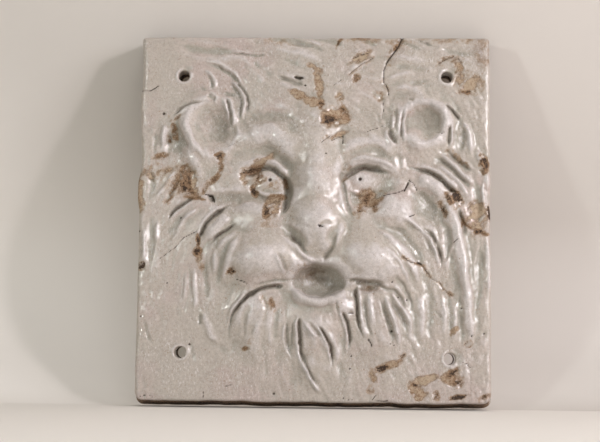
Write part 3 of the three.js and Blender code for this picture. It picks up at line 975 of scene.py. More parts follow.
    def washes(self) -> list[Wash]:
        """Darker or duller glaze, from the ears down; the darkening is mostly painted shade of hollows."""
        return [
            # Painted shade: the ear bowls, over the left brow, the eye sockets, the left cheek, the mouth and
            # under the right moustache. By the top crack it is a stain; at the top right corner and left of
            # the left ear it only darkens.
            Wash((-80, 78), (17, 22), dirt_and_painted_shade=0.3, matt=0.9),
            Wash((-98, 74), (18, 26), matt=0.85),
            Wash((88, 78), (22, 22), matt=1),
            Wash((90, 83), (19, 16), dirt_and_painted_shade=0.26, turn=-20),
            Wash((137, 137), (13, 20), dirt_and_painted_shade=0.36, matt=0.9),
            Wash((-38, 78), (30, 12), dirt_and_painted_shade=0.2, matt=0.4, turn=6),
            Wash((28, 33), (8, 15), dirt_and_painted_shade=0.3),
            Wash((-22, 22), (6, 18), dirt_and_painted_shade=0.2),
            Wash((-60, 11), (26, 15), dirt_and_painted_shade=0.26, matt=0.8),
            Wash((3, -2), (16, 30), matt=0.5),
            Wash((9, 46), (17, 32), matt=0.95),
            Wash((-4, -47), (26, 14), dirt_and_painted_shade=0.5, matt=0.5, turn=-10),
            Wash((-28, -28), (18, 12), matt=0.8),
            Wash((58, -32), (11, 8), matt=0.4),
            Wash((9, -56), (16, 9), dirt_and_painted_shade=0.26),
            Wash((45, -57), (14, 7), dirt_and_painted_shade=0.5),
            Wash((67, 138), (9, 16), dirt_and_painted_shade=0.3, turn=-30),
            Wash((-132, 66), (12, 18), dirt_and_painted_shade=0.12, matt=0.4),
        ]

    def cracks(self) -> list[Crack]:
        """Cracks, gashes and scratches, from the top down."""
        brown = Tone.BROWN
        down_from_top = (71, 149), (68, 141), (63, 134), (58, 127), (56, 120), (56, 112), (59, 105), (60, 100)
        over_cheek = (56, 17), (66, 19), (73, 22), (75.5, 25), (77, 30)
        past_pad = (72, -33), (78, -37), (85, -38), (90, -43), (95, -49), (101, -53), (104, -58), (111, -63)
        behind_jaw = (-95, -13), (-105, -18), (-112, -26), (-124, -35)
        return [
            Crack(down_from_top, 0.6, 0.9, stain=0.3),
            Crack(down_from_top[:4], 1, 0.6, brown, stain=0.55),
            Crack(((55.5, 97), (55.5, 80)), 0.45, 0.8),
            Crack(((-144, 103), (-135, 103.5), (-129.5, 107)), 0.6, 1),
            Crack(((-17, 114.3), (-10, 113.2)), 0.9, 1.2),
            Crack(((43, 69), (55, 74)), 0.35, 0.5),
            Crack(((-70, 56), (-58, 63)), 0.35, 0.5, brown),
            Crack(((-20, 80), (-14, 72)), 0.4, 0.6, brown),
            Crack(((6, 59), (13, 65)), 0.5, 0.6, brown, stain=0.4),
            Crack(((14, 61), (22, 65)), 0.5, 0.6, brown, stain=0.4),
            Crack(((23, 65), (23, 59)), 0.4, 0.5),
            Crack(((15, 107), (21, 112)), 0.4, 0.5, brown),
            Crack(((28, 117), (37, 125), (47, 131)), 0.5, 0.6, brown, stain=0.5),
            Crack(((31, 131), (37, 134), (43, 135)), 0.45, 0.5, brown, stain=0.4),
            Crack(over_cheek, 0.5, 1),
            Crack(((73, 21), (76, 28)), 0.8, 1),
            Crack(((4, -8.6), (7.5, -10.4)), 0.8, 1),
            Crack(((76.5, 30), (80, 28), (83, 22)), 0.4, 0.7),
            Crack(((-88, 17), (-82.5, 16.5), (-81, 11)), 0.9, 1.4),
            Crack(((77, 0), (81, 1.5)), 0.6),
            Crack(((98, 69), (106, 67)), 0.35, 0.5),
            Crack(((113, -20), (116.5, -17)), 0.4, 0.5),
            Crack(behind_jaw, 0.35, 0.6),
            Crack(((-61, -52), (-57, -53), (-53, -56)), 0.45, 0.6),
            Crack(past_pad, 0.6, 0.7, brown, stain=0.55),
            Crack(((84, -36.5), (86, -38)), 1.3, 1),
            Crack(((27, -78), (33, -78)), 0.5, 0.8),
            Crack(((44.5, -99), (47, -103.5)), 0.9, 0.9),
            Crack(((61, -102), (65, -102.5), (65.5, -105)), 0.4, 0.6),
            Crack(((-69, -137), (-64, -136)), 0.4, 0.5),
            Crack(((-138, -146), (-131, -144.5), (-128, -147)), 0.4, 0.6),
            Crack(((-87, -142), (-87, -147)), 0.4, 0.5),
            Crack(((120, -116), (127, -120)), 0.4, 0.6),
            Crack(((18, -144), (32, -147)), 0.3, 0.4),
            Crack(((51, -143), (48, -147), (60, -148)), 0.5, 0.6),
            Crack(((101, 127), (108, 131), (113, 133), (120, 128)), 0.5, 0.6, brown, stain=0.45),
        ]

    def pits(self) -> list[tuple[Pair, float]]:
        """Round pits, each a place and a radius."""
        return [
            ((-30.5, -142.5), 1.1), ((63, -92), 1.2), ((-139, -82), 1.0), ((-124, 84), 1.3),
            ((-142, -13), 0.9), ((-108, -2), 1.0), ((31, -112), 0.9), ((30, -122), 0.9),
            ((68, -65), 0.9), ((75, -67), 1.0), ((63, -53), 0.9), ((127, -95), 0.9),
            ((137, -93), 1.0), ((119, -73), 0.8), ((-118, -55), 0.8),
            ((-8, 107), 1.1), ((9.5, 50), 0.9), ((71, 149), 1.8), ((-99, -104), 1.1),
            # The pupils' and the nostril's pinholes: painted dark like every pit, here as painted shade of
            # the holes.
            ((-35.8, 29.5), 1.75), ((37.2, 30.5), 1.75), ((5.2, -9.6), 1.3),
        ]

    def ragged(self, x: np.ndarray, z: np.ndarray) -> np.ndarray:
        """Noise for the outlines of the chips: round notches, and streaks along the grain.

        Args:
            x, z: places across and up the face.

        Returns:
            The noise at every place, about 0 on average.
        """
        along, across = self.grain
        notches = self.notch * fractal(x, z, 5.0, 3, seed=41)
        streaks = fractal(0.3 * (along * x + across * z), along * z - across * x, 3.0, 2, seed=45)
        return notches + self.streak * streaks

    def measure(self, x: np.ndarray, z: np.ndarray) -> Fields:
        """Works out the wear at every place.

        The glaze is gone where the strongest chip's share, roughened by noise, passes a threshold. A
        crack's or a pit's core is a bell, exp(-(distance / width)^2).

        Args:
            x, z: places across and up the face.

        Returns:
            Arrays from 0 to 1 named bare, shade, crack, dirt_and_painted_shade and matt, and sunk in
            millimetres.
        """
        strayed_x = x + self.drift * fractal(x, z, 9.0, 3, seed=91)
        strayed_z = z + self.drift * fractal(x, z, 9.0, 3, seed=95)
        strongest, shade = np.zeros_like(x), np.full_like(x, Tone.TAN.value)
        for chip in self.chips():
            share = chip.share(strayed_x, strayed_z)
            strongest = np.maximum(strongest, share)
            shade = shade + share**2 * self.tint * (chip.tone.value - shade)
        ragged = self.ragged(x, z)
        bare = np.clip(strongest + ragged * ease((strongest - 0.15) / 0.5), 0.0, 1.0)
        sunk = self.chip_depth * ease((bare - 0.25) / 0.4)
        wander = self.tremor * value_noise(x, z, 3.0, seed=52)
        crack, stain = np.zeros_like(x), np.zeros_like(x)
        for line in self.cracks():
            gap = line.gap(x + wander, z + wander)
            core = np.exp(-((gap / line.width) ** 2))
            crack = np.maximum(crack, core * (0.5 + 0.45 * line.tone.value))
            shade = shade + core * (line.tone.value - shade)
            sunk = sunk + line.depth * core
            stain = np.maximum(stain, line.stain * np.exp(-((gap / (3.2 * line.width)) ** 2)))
        for at, radius in self.pits():
            core = np.exp(-((oval(at, (radius, radius), 0.0, x, z)) ** 2))
            crack = np.maximum(crack, core)
            sunk = sunk + self.pit_depth * radius * core
        bare = np.maximum(bare, np.clip(stain + 0.5 * ragged * (stain > 0.02), 0.0, 1.0))
        # The washes' darkening: mostly painted shade of hollows, partly stain.
        dirt_and_painted_shade, matt = np.zeros_like(x), np.zeros_like(x)
        for wash in self.washes():
            share = wash.share(strayed_x, strayed_z)
            dirt_and_painted_shade, matt = np.maximum(dirt_and_painted_shade, wash.dirt_and_painted_shade * share), np.maximum(matt, wash.matt * share)
        shade = np.clip(shade, 0.0, 1.0)
        return {"bare": bare, "shade": shade, "crack": crack, "sunk": sunk, "dirt_and_painted_shade": dirt_and_painted_shade, "matt": matt}


# ---- the slab ----


@dataclass
class Slab:
    """The plaque as one closed shell: modelled face, cut sides, pierced holes and flat back.

    Sizes are millimetres. The sides lean outwards to the back by side_draft, top_draft and
    foot_draft, which grow over draft_over from draft_from inside the edge, and are dented by side_dent
    halfway. The front edge is rounded by edge_round, or by foot_round along the bottom.
    edge_steps are the grid's lines over the rounded edge, as distances inside the outline. Each of the
    left side's bumps is a place up, a half length and how far it stands out, or in if negative.
    """

    width: float = 286.0
    height: float = 298.0
    thick: float = 26.0
    side_draft: float = 2.4
    top_draft: float = 1.4
    foot_draft: float = 4.4
    draft_from: float = 20.0
    draft_over: float = 16.0
    side_dent: float = 0.35
    edge_round: float = 4.0
    foot_round: float = 1.8
    corner_top: float = 3.0
    corner_foot: float = 7.0
    cell: float = 1.0
    edge_steps: tuple[float, ...] = (0.0, 0.25, 0.7, 1.4, 2.4, 3.6, 5.0)
    wall_rows: int = 7
    back_cell: float = 9.0
    back_border: float = 4.0
    hole_border: float = 2.5
    bumps: tuple[Triple, ...] = ((20, 13, 1.9), (94, 10, 1.0), (50, 12, -0.9), (122, 14, -0.7))
    head: LionHead = field(default_factory=LionHead)
    wear: Wear = field(default_factory=Wear)

    def lattice(self) -> tuple[np.ndarray, np.ndarray]:
        """Places of the face's grid: cells of one size, finer over the rounded edge, corners pulled in.

        In a corner's square each place moves along its ray until its larger offset is its distance.

        Returns:
            The places across and up, before the outline is made uneven.
        """
        edge = np.array(self.edge_steps)
        lines = []
        for length in (self.width, self.height):
            count = round((length - 2 * edge[-1]) / self.cell)
            inner = np.linspace(edge[-1], length - edge[-1], count + 1)[1:-1]
            lines.append(np.concatenate([edge, inner, length - edge[::-1]]) - length / 2)
        x, z = np.meshgrid(*lines)
        radius = np.where(z > 0, self.corner_top, self.corner_foot)
        dx, dz = np.abs(x) - self.width / 2 + radius, np.abs(z) - self.height / 2 + radius
        corner = (dx > 0) & (dz > 0)
        pull = np.where(corner, np.maximum(dx, dz) / np.maximum(np.hypot(dx, dz), 1e-6), 1.0)
        x = np.where(corner, np.sign(x) * (self.width / 2 - radius + dx * pull), x)
        z = np.where(corner, np.sign(z) * (self.height / 2 - radius + dz * pull), z)
        return x, z

    def fall(self, x: np.ndarray, z: np.ndarray) -> np.ndarray:
        """How far the rounded front edge has dropped at every place.

        With d the distance inside the outline and E the edge's radius it is E - sqrt(E^2 - (E - d)^2).

        Args:
            x, z: places across and up.

        Returns:
            The drop at every place, in millimetres.
        """
        radius = np.where(z > 0, self.corner_top, self.corner_foot)
        dx, dz = self.width / 2 - np.abs(x), self.height / 2 - np.abs(z)
        arc = radius - np.hypot(radius - dx, radius - dz)
        inside = np.where((dx < radius) & (dz < radius), arc, np.minimum(dx, dz))
        foot = ease((dx - (z + self.height / 2)) / 10.0 + 0.5)
        round_ = self.edge_round + (self.foot_round - self.edge_round) * foot
        near = round_ - np.clip(inside, 0.0, round_)
        return round_ - np.sqrt(np.maximum(round_**2 - near**2, 0.0))

    def bulge(self, x: np.ndarray, z: np.ndarray) -> tuple[np.ndarray, np.ndarray]:
        """Sideways shifts that make the hand-cut outline uneven, strongest at the edge itself.

        They fade inwards as the 14th power of the distance from the middle, and a bump's shift is
        rise * exp(-((z - place) / half)^4).

        Args:
            x, z: places across and up.

        Returns:
            The shifts in x and in z at every place, in millimetres.
        """
        across = np.abs(x / (self.width / 2)) ** 14
        up = np.abs(z / (self.height / 2)) ** 14
        left = np.where(x < 0, 1.0, 0.0)
        out = sum(rise * np.exp(-(((z - at) / half) ** 4)) for at, half, rise in self.bumps)
        side = 0.5 * value_noise(z, x, 17.0, seed=61) - 0.3
        rim = 0.55 * value_noise(x, z, 19.0, seed=62) + 0.3 * value_noise(x, z, 7.0, seed=63) - 0.3
        shift_x = across * (left * out + side) * np.sign(x)
        return shift_x, up * rim * np.sign(z)

    def fields(self, height: np.ndarray, fall: np.ndarray, wear: Fields) -> Fields:
        """Works out what the glaze's material reads at each place, from 0 to 1.

        swell is how far a place stands over its blurred surroundings, from -1 to 1. The dark brown field
        darkens the narrow clefts, as painted shade with the soiling there, and takes the washes' darkening.
        matt is full where the edge is rubbed dull.

        Args:
            height: height of the modelled clay.
            fall: how far the rounded edge has dropped.
            wear: the arrays of Wear.measure.

        Returns:
            The fields by name.
        """
        swell = np.clip((height - soften(height, 5.0)) / 1.6, -1.0, 1.0)
        worn_edge = 0.8 * np.clip(fall / 1.5, 0.0, 1.0)
        # Painted shade: darker brown where a place lies in a narrow cleft below its close surroundings.
        clefts = 0.85 * ease((soften(height, 1.7) - height - 0.35) / 2.0)
        made = {name: wear[name] for name in ("bare", "shade", "crack")}
        made |= {"swell": swell, "grime": np.maximum(clefts, wear["dirt_and_painted_shade"])}
        return made | {"matt": np.maximum(worn_edge, wear["matt"])}

    def build(self) -> bpy.types.Object:
        """Makes the closed shell with its attributes.

        Returns:
            The piece, its object at the origin, in metres.
        """
        x, z = self.lattice()
        keep, rings = self.pierce(x, z)
        shift_x, shift_z = self.bulge(x, z)
        wear = self.wear.measure(x, z)
        height, fall = self.head.height(x, z), self.fall(x, z)
        fade = 1.0 - 0.75 * np.clip(fall / self.edge_round, 0.0, 1.0)
        y = -(self.thick + height * fade - wear["sunk"]) + fall
        laid = np.stack([x, z], -1).reshape(-1, 2)
        face = Surface(np.stack([x + shift_x, y, z + shift_z], -1).reshape(-1, 3), laid)
        face.fields = {name: values.ravel() for name, values in self.fields(height, fall, wear).items()}
        index = np.arange(x.size).reshape(x.shape)
        quads = np.stack([index[:-1, :-1], index[:-1, 1:], index[1:, 1:], index[1:, :-1]], -1)
        face.quads.append(quads[keep])
        border = np.concatenate([index[0, :-1], index[:-1, -1], index[-1, :0:-1], index[:0:-1, 0]])
        back_edge = self.sides(face, border)
        back_rings = [self.bore(face, ring) for ring in rings]
        self.back(face, back_edge, back_rings)
        return face.to_object("plaque_shell")

    def pierce(self, x: np.ndarray, z: np.ndarray) -> tuple[np.ndarray, list[np.ndarray]]:
        """Opens the screw holes: drops the cells over each and draws its border in to a circle.

        Args:
            x, z: places across and up, some of which it moves.

        Returns:
            A mask of the cells that stay, and each hole's border as grid indices, anticlockwise.
        """
        middle_x = (x[:-1, :-1] + x[1:, 1:]) / 2
        middle_z = (z[:-1, :-1] + z[1:, 1:]) / 2
        keep = np.ones(middle_x.shape, bool)
        rings = []
        columns = x.shape[1]
        for at in self.head.holes.places:
            gone = np.hypot(middle_x - at[0], middle_z - at[1]) < self.head.holes.radius
            keep &= ~gone
            corners = np.zeros((4, *x.shape), bool)
            for k, (i, j) in enumerate(((0, 0), (0, 1), (1, 0), (1, 1))):
                corners[k, i : i + gone.shape[0], j : j + gone.shape[1]] = gone
            touched = corners.any(0) & ~corners.all(0)
            i, j = np.nonzero(touched)
            angle = np.arctan2(z[i, j] - at[1], x[i, j] - at[0])
            order = np.argsort(angle)
            i, j, angle = i[order], j[order], angle[order]
            x[i, j] = at[0] + self.head.holes.radius * np.cos(angle)
            z[i, j] = at[1] + self.head.holes.radius * np.sin(angle)
            rings.append(i * columns + j)
        return keep, rings

    def sides(self, face: "Surface", border: np.ndarray) -> np.ndarray:
        """Adds the four cut sides, row by row from the face's border to the back's edge.

        They are bare near the back, beyond an uneven line, and all over at the foot, where their clay is
        darker as painted shade of the underside.

        Args:
            face: the surface to add to.
            border: indices round the face, anticlockwise seen from the front.

        Returns:
            Indices of the last row, which lies on the back plane.
        """
        start = face.points[border]
        grown = start.copy()
        across = np.sign(start[:, 0]) * self.side_draft
        up = np.where(start[:, 2] > 0, self.top_draft, -self.foot_draft)
        for axis, size, draft in ((0, self.width, across), (2, self.height, up)):
            beyond = np.abs(start[:, axis]) - size / 2 + self.draft_from
            grown[:, axis] += draft * ease(beyond / self.draft_over)
        grown[:, 1] = 0.0
        foot = ease((-self.height / 2 + 6 - start[:, 2]) / 4.0)
        previous = border
        for row in range(1, self.wall_rows + 1):
            share = row / self.wall_rows
            points = start + (grown - start) * share
            along = start[:, 0] + start[:, 2]
            dent = self.side_dent * (value_noise(along, points[:, 1], 5.0, seed=71) - 1.0)
            dent = dent * math.sin(math.pi * share)
            points[:, 0] += dent * np.sign(start[:, 0]) * (np.abs(grown[:, 0] - start[:, 0]) > 1)
            ragged = 0.25 * fractal(along, points[:, 1], 9.0, 3, seed=72)
            bare = np.clip(np.maximum(ease((share + ragged - 0.72) / 0.2), foot), 0.0, 1.0)
            # Darker clay at the foot: painted shade under the plaque, over a random tone.
            shade = 0.2 + 0.5 * foot + 0.15 * value_noise(along, points[:, 1], 8.0, seed=73)
            outward = (grown - start)[:, [0, 2]]
            outward /= np.maximum(np.hypot(*outward.T), 1e-6)[:, None]
            laid = face.laid[border] + outward * self.thick * share
            ring = face.add(points, laid, bare=bare, shade=np.clip(shade, 0, 1))
            face.loop(previous, ring)
            previous = ring
        return previous

    def bore(self, face: "Surface", ring: np.ndarray) -> np.ndarray:
        """Adds one hole's wall from its rim straight through to the back plane.

        Args:
            face: the surface to add to.
            ring: indices round the hole's rim, anticlockwise seen from the front.

        Returns:
            Indices of the last row, which lies on the back plane.
        """
        start, rim = face.points[ring], face.laid[ring]
        middle = rim.mean(0)
        previous = ring
        for row in range(1, self.wall_rows + 1):
            share = row / self.wall_rows
            points = start.copy()
            points[:, 1] = start[:, 1] * (1.0 - share)
            bare = ease((share - 0.35) / 0.3)
            laid = rim + (middle - rim) * 0.8 * share
            # Near-black clay in the hole: painted shade, but for the last row at the back.
            shade = Tone.PAINTED_SHADE if row < self.wall_rows else Tone.TAN
            added = face.add(points, laid, bare=bare, shade=shade.value)
            face.loop(previous[::-1], added[::-1])
            previous = added
        return previous

    def back(self, face: "Surface", edge: np.ndarray, rings: list[np.ndarray]) -> None:
        """Closes the flat back with triangles between its edge, the holes and a loose grid.

        Args:
            face: the surface to add to.
            edge: indices of the sides' last row.
            rings: indices of each hole's last row.
        """
        outline = [face.points[loop][:, [0, 2]] for loop in (edge, *rings)]
        known = np.concatenate([edge, *rings])
        reach_x, reach_z = self.width / 2 - self.back_border, self.height / 2 - self.back_border
        gx, gz = np.meshgrid(
            np.linspace(-reach_x, reach_x, round(2 * reach_x / self.back_cell)),
            np.linspace(-reach_z, reach_z, round(2 * reach_z / self.back_cell)))
        inner = np.stack([gx.ravel(), gz.ravel()], -1)
        holes = np.array(self.head.holes.places)
        gap = np.hypot(*(inner[:, None, :] - holes[None]).transpose(2, 0, 1)).min(1)
        inner = inner[gap > self.head.holes.radius + self.hole_border]
        points = np.stack([inner[:, 0], np.zeros(len(inner)), inner[:, 1]], -1)
        added = face.add(points, inner, bare=1.0, shade=0.1)
        flat = np.concatenate([*outline, inner])
        edges, offset = [], 0
        for loop in outline:
            count = len(loop)
            edges += [(offset + i, offset + (i + 1) % count) for i in range(count)]
            offset += count
        places, _, faces, origins, *_ = cdt([Vector(p) for p in flat], edges, [], 1, 1e-6)
        numbers = np.concatenate([known, added])
        corner = np.array([origin[0] for origin in origins])
        triangles = np.array(faces)
        middles = np.array([list(p) for p in places])[triangles].mean(1)
        gap = np.hypot(*(middles[:, None, :] - holes[None]).transpose(2, 0, 1)).min(1)
        solid = triangles[gap > self.head.holes.radius]
        face.flat.append(numbers[corner[solid]][:, ::-1])


@dataclass
class Surface:
    """Points, faces and per-point fields of a shell that is being made, in millimetres.

    laid holds each point's place on the texture map, where the back is back_share of its size and
    stands back_place to the right.
    """

    points: np.ndarray
    laid: np.ndarray
    quads: list[np.ndarray] = field(default_factory=list)
    flat: list[np.ndarray] = field(default_factory=list)
    fields: Fields = field(default_factory=dict)
    back_share: float = 0.26
    back_place: float = 220.0

    def add(self, points: np.ndarray, laid: np.ndarray, **values: float | np.ndarray) -> np.ndarray:
        """Adds points.

        Args:
            points: their places.
            laid: their places on the texture map.
            **values: fields there; those that aren't given are 0.

        Returns:
            Their indices.
        """
        first = len(self.points)
        self.points = np.concatenate([self.points, points])
        self.laid = np.concatenate([self.laid, laid])
        for name, kept in self.fields.items():
            self.fields[name] = np.concatenate([kept, np.broadcast_to(values.get(name, 0.0), len(points))])
        return np.arange(first, first + len(points))

    def loop(self, front: np.ndarray, rear: np.ndarray) -> None:
        """Joins two closed rings with quads that face outwards when both run anticlockwise.

        Args:
            front: indices of the ring nearer the face.
            rear: indices of the ring nearer the back.
        """
        self.quads.append(np.stack([front, rear, np.roll(rear, -1), np.roll(front, -1)], -1))

    def to_object(self, name: str) -> bpy.types.Object:
        """Makes the Blender object, without the points that no face uses.

        Args:
            name: name of the object.

        Returns:
            The object, smooth but for its flat faces.
        """
        quads, flat = np.concatenate(self.quads), np.concatenate(self.flat)
        used = np.unique(np.concatenate([quads.ravel(), flat.ravel()]))
        number = np.full(len(self.points), -1)
        number[used] = np.arange(len(used))
        mesh = bpy.data.meshes.new(name)
        faces = number[quads].tolist() + number[flat].tolist()
        mesh.from_pydata((self.points[used] * MM).tolist(), [], faces)
        mesh.update()
        mesh.polygons.foreach_set("use_smooth", [True] * len(quads) + [False] * len(flat))
        self.lay_flat(mesh, quads, flat)
        for key, values in self.fields.items():
            layer = mesh.attributes.new(key, "FLOAT", "POINT")
            layer.data.foreach_set("value", values[used].astype(np.float32))
        made = bpy.data.objects.new(name, mesh)
        bpy.context.scene.collection.objects.link(made)
        return made

    def lay_flat(self, mesh: bpy.types.Mesh, quads: np.ndarray, flat: np.ndarray) -> None:
        """Adds a texture map: the face with its sides folded out, and the back, smaller, to its right.

        Args:
            mesh: the shell.
            quads: its four-cornered faces, as indices of self.points.
            flat: its flat faces, likewise.
        """
        behind = self.points[flat.ravel()][:, [0, 2]] * self.back_share + (self.back_place, 0.0)
        spread = np.concatenate([self.laid[quads.ravel()], behind])
        low = spread.min(0)
        layer = mesh.uv_layers.new(name="OFBake")
        layer.data.foreach_set("uv", ((spread - low) / (spread - low).max()).ravel())


# ---- finishes ----


@dataclass(frozen=True)
class Grain:
    """A noise pattern: cells in a metre, how many octaves and how strong the small ones are."""

    scale: float
    detail: float = 2.0
    rough: float = 0.5


@dataclass
class Graph:
    """A node tree that is being wired: each call adds nodes and returns one output.

    place gives where on the piece a point lies, in metres, for the patterns.
    """

    tree: bpy.types.NodeTree
    place: Socket = field(init=False)

    def __post_init__(self) -> None:
        """Adds the node that gives the place."""
        self.place = self.add("TexCoord", {}, "Object")

    def add(self, kind: str, inputs: dict, output: str | int = 0, **settings: object) -> Socket:
        """Adds a node, sets its settings and wires its inputs.

        Args:
            kind: the node's type name, without the ShaderNode in front.
            inputs: socket name or number to a value or another node's output.
            output: which output to return.
            **settings: properties of the node.

        Returns:
            The asked output socket.
        """
        node = self.tree.nodes.new("ShaderNode" + kind)
        for name, value in settings.items():
            setattr(node, name, value)
        for name, value in inputs.items():
            if isinstance(value, Socket):
                self.tree.links.new(value, node.inputs[name])
            else:
                node.inputs[name].default_value = value
        return node.outputs[output]

    def math(self, operation: str, a: Source, b: Source = 0.0, clamp: bool = False) -> Socket:
        """A Math node of one or two values."""
        return self.add("Math", {0: a, 1: b}, operation=operation, use_clamp=clamp)

    def plus(self, a: Source, b: Source, clamp: bool = False) -> Socket:
        """The sum of two values."""
        return self.math("ADD", a, b, clamp)

    def times(self, a: Source, b: Source) -> Socket:
        """The product of two values."""
        return self.math("MULTIPLY", a, b)

    def most(self, a: Source, b: Source) -> Socket:
        """The larger of two values."""
        return self.math("MAXIMUM", a, b)

    def swing(self, value: Source, reach: float) -> Socket:
        """A value about 0.5 turned to one about 0: (value - 0.5) * reach."""
        return self.times(self.math("SUBTRACT", value, 0.5), reach)

    def ramp(self, value: Source, low: float, high: float, start: float = 0.0, end: float = 1.0) -> Socket:
        """Maps low..high smoothly to start..end, held beyond."""
        inputs = {"Value": value, "From Min": low, "From Max": high, "To Min": start, "To Max": end}
        return self.add("MapRange", inputs, interpolation_type="SMOOTHSTEP", clamp=True)

    def blend(self, share: Source, a: Source, b: Source, kind: str = "MIX") -> Socket:
        """Blends colour b over colour a by a share."""
        colours = {0: share, 6: a, 7: b}
        return self.add("Mix", colours, 2, data_type="RGBA", blend_type=kind, clamp_factor=True)

    def noise(self, grain: Grain, place: Socket | None = None, output: str | int = 0) -> Socket:
        """A Noise Texture's value, about 0.5 on average, or its colour."""
        inputs = {"Scale": grain.scale, "Detail": grain.detail, "Roughness": grain.rough}
        return self.add("TexNoise", inputs | {"Vector": self.place if place is None else place}, output)

    def vector(self, operation: str, a: Source, b: Source, output: str | int = 0) -> Socket:
        """A Vector Math node of two vectors."""
        return self.add("VectorMath", {0: a, 1: b}, output, operation=operation)

    def bump(self, height: Socket, distance: float, strength: float, under: Socket | None = None) -> Socket:
        """Normals of a bump whose full height is distance metres, on top of the bump under it."""
        inputs = {"Strength": strength, "Distance": distance, "Height": height}
        return self.add("Bump", inputs if under is None else inputs | {"Normal": under})


def rgb(red: int, green: int, blue: int) -> tuple[float, float, float, float]:
    """A colour given as 0-255 display values, turned to scene-linear by the sRGB curve.

    Args:
        red, green, blue: display values.

    Returns:
        Red, green, blue and an alpha of 1.
    """
    shares = np.array([red, green, blue]) / 255.0
    linear = np.where(shares <= 0.04045, shares / 12.92, ((shares + 0.055) / 1.055) ** 2.4)
    return (*(float(v) for v in linear), 1.0)


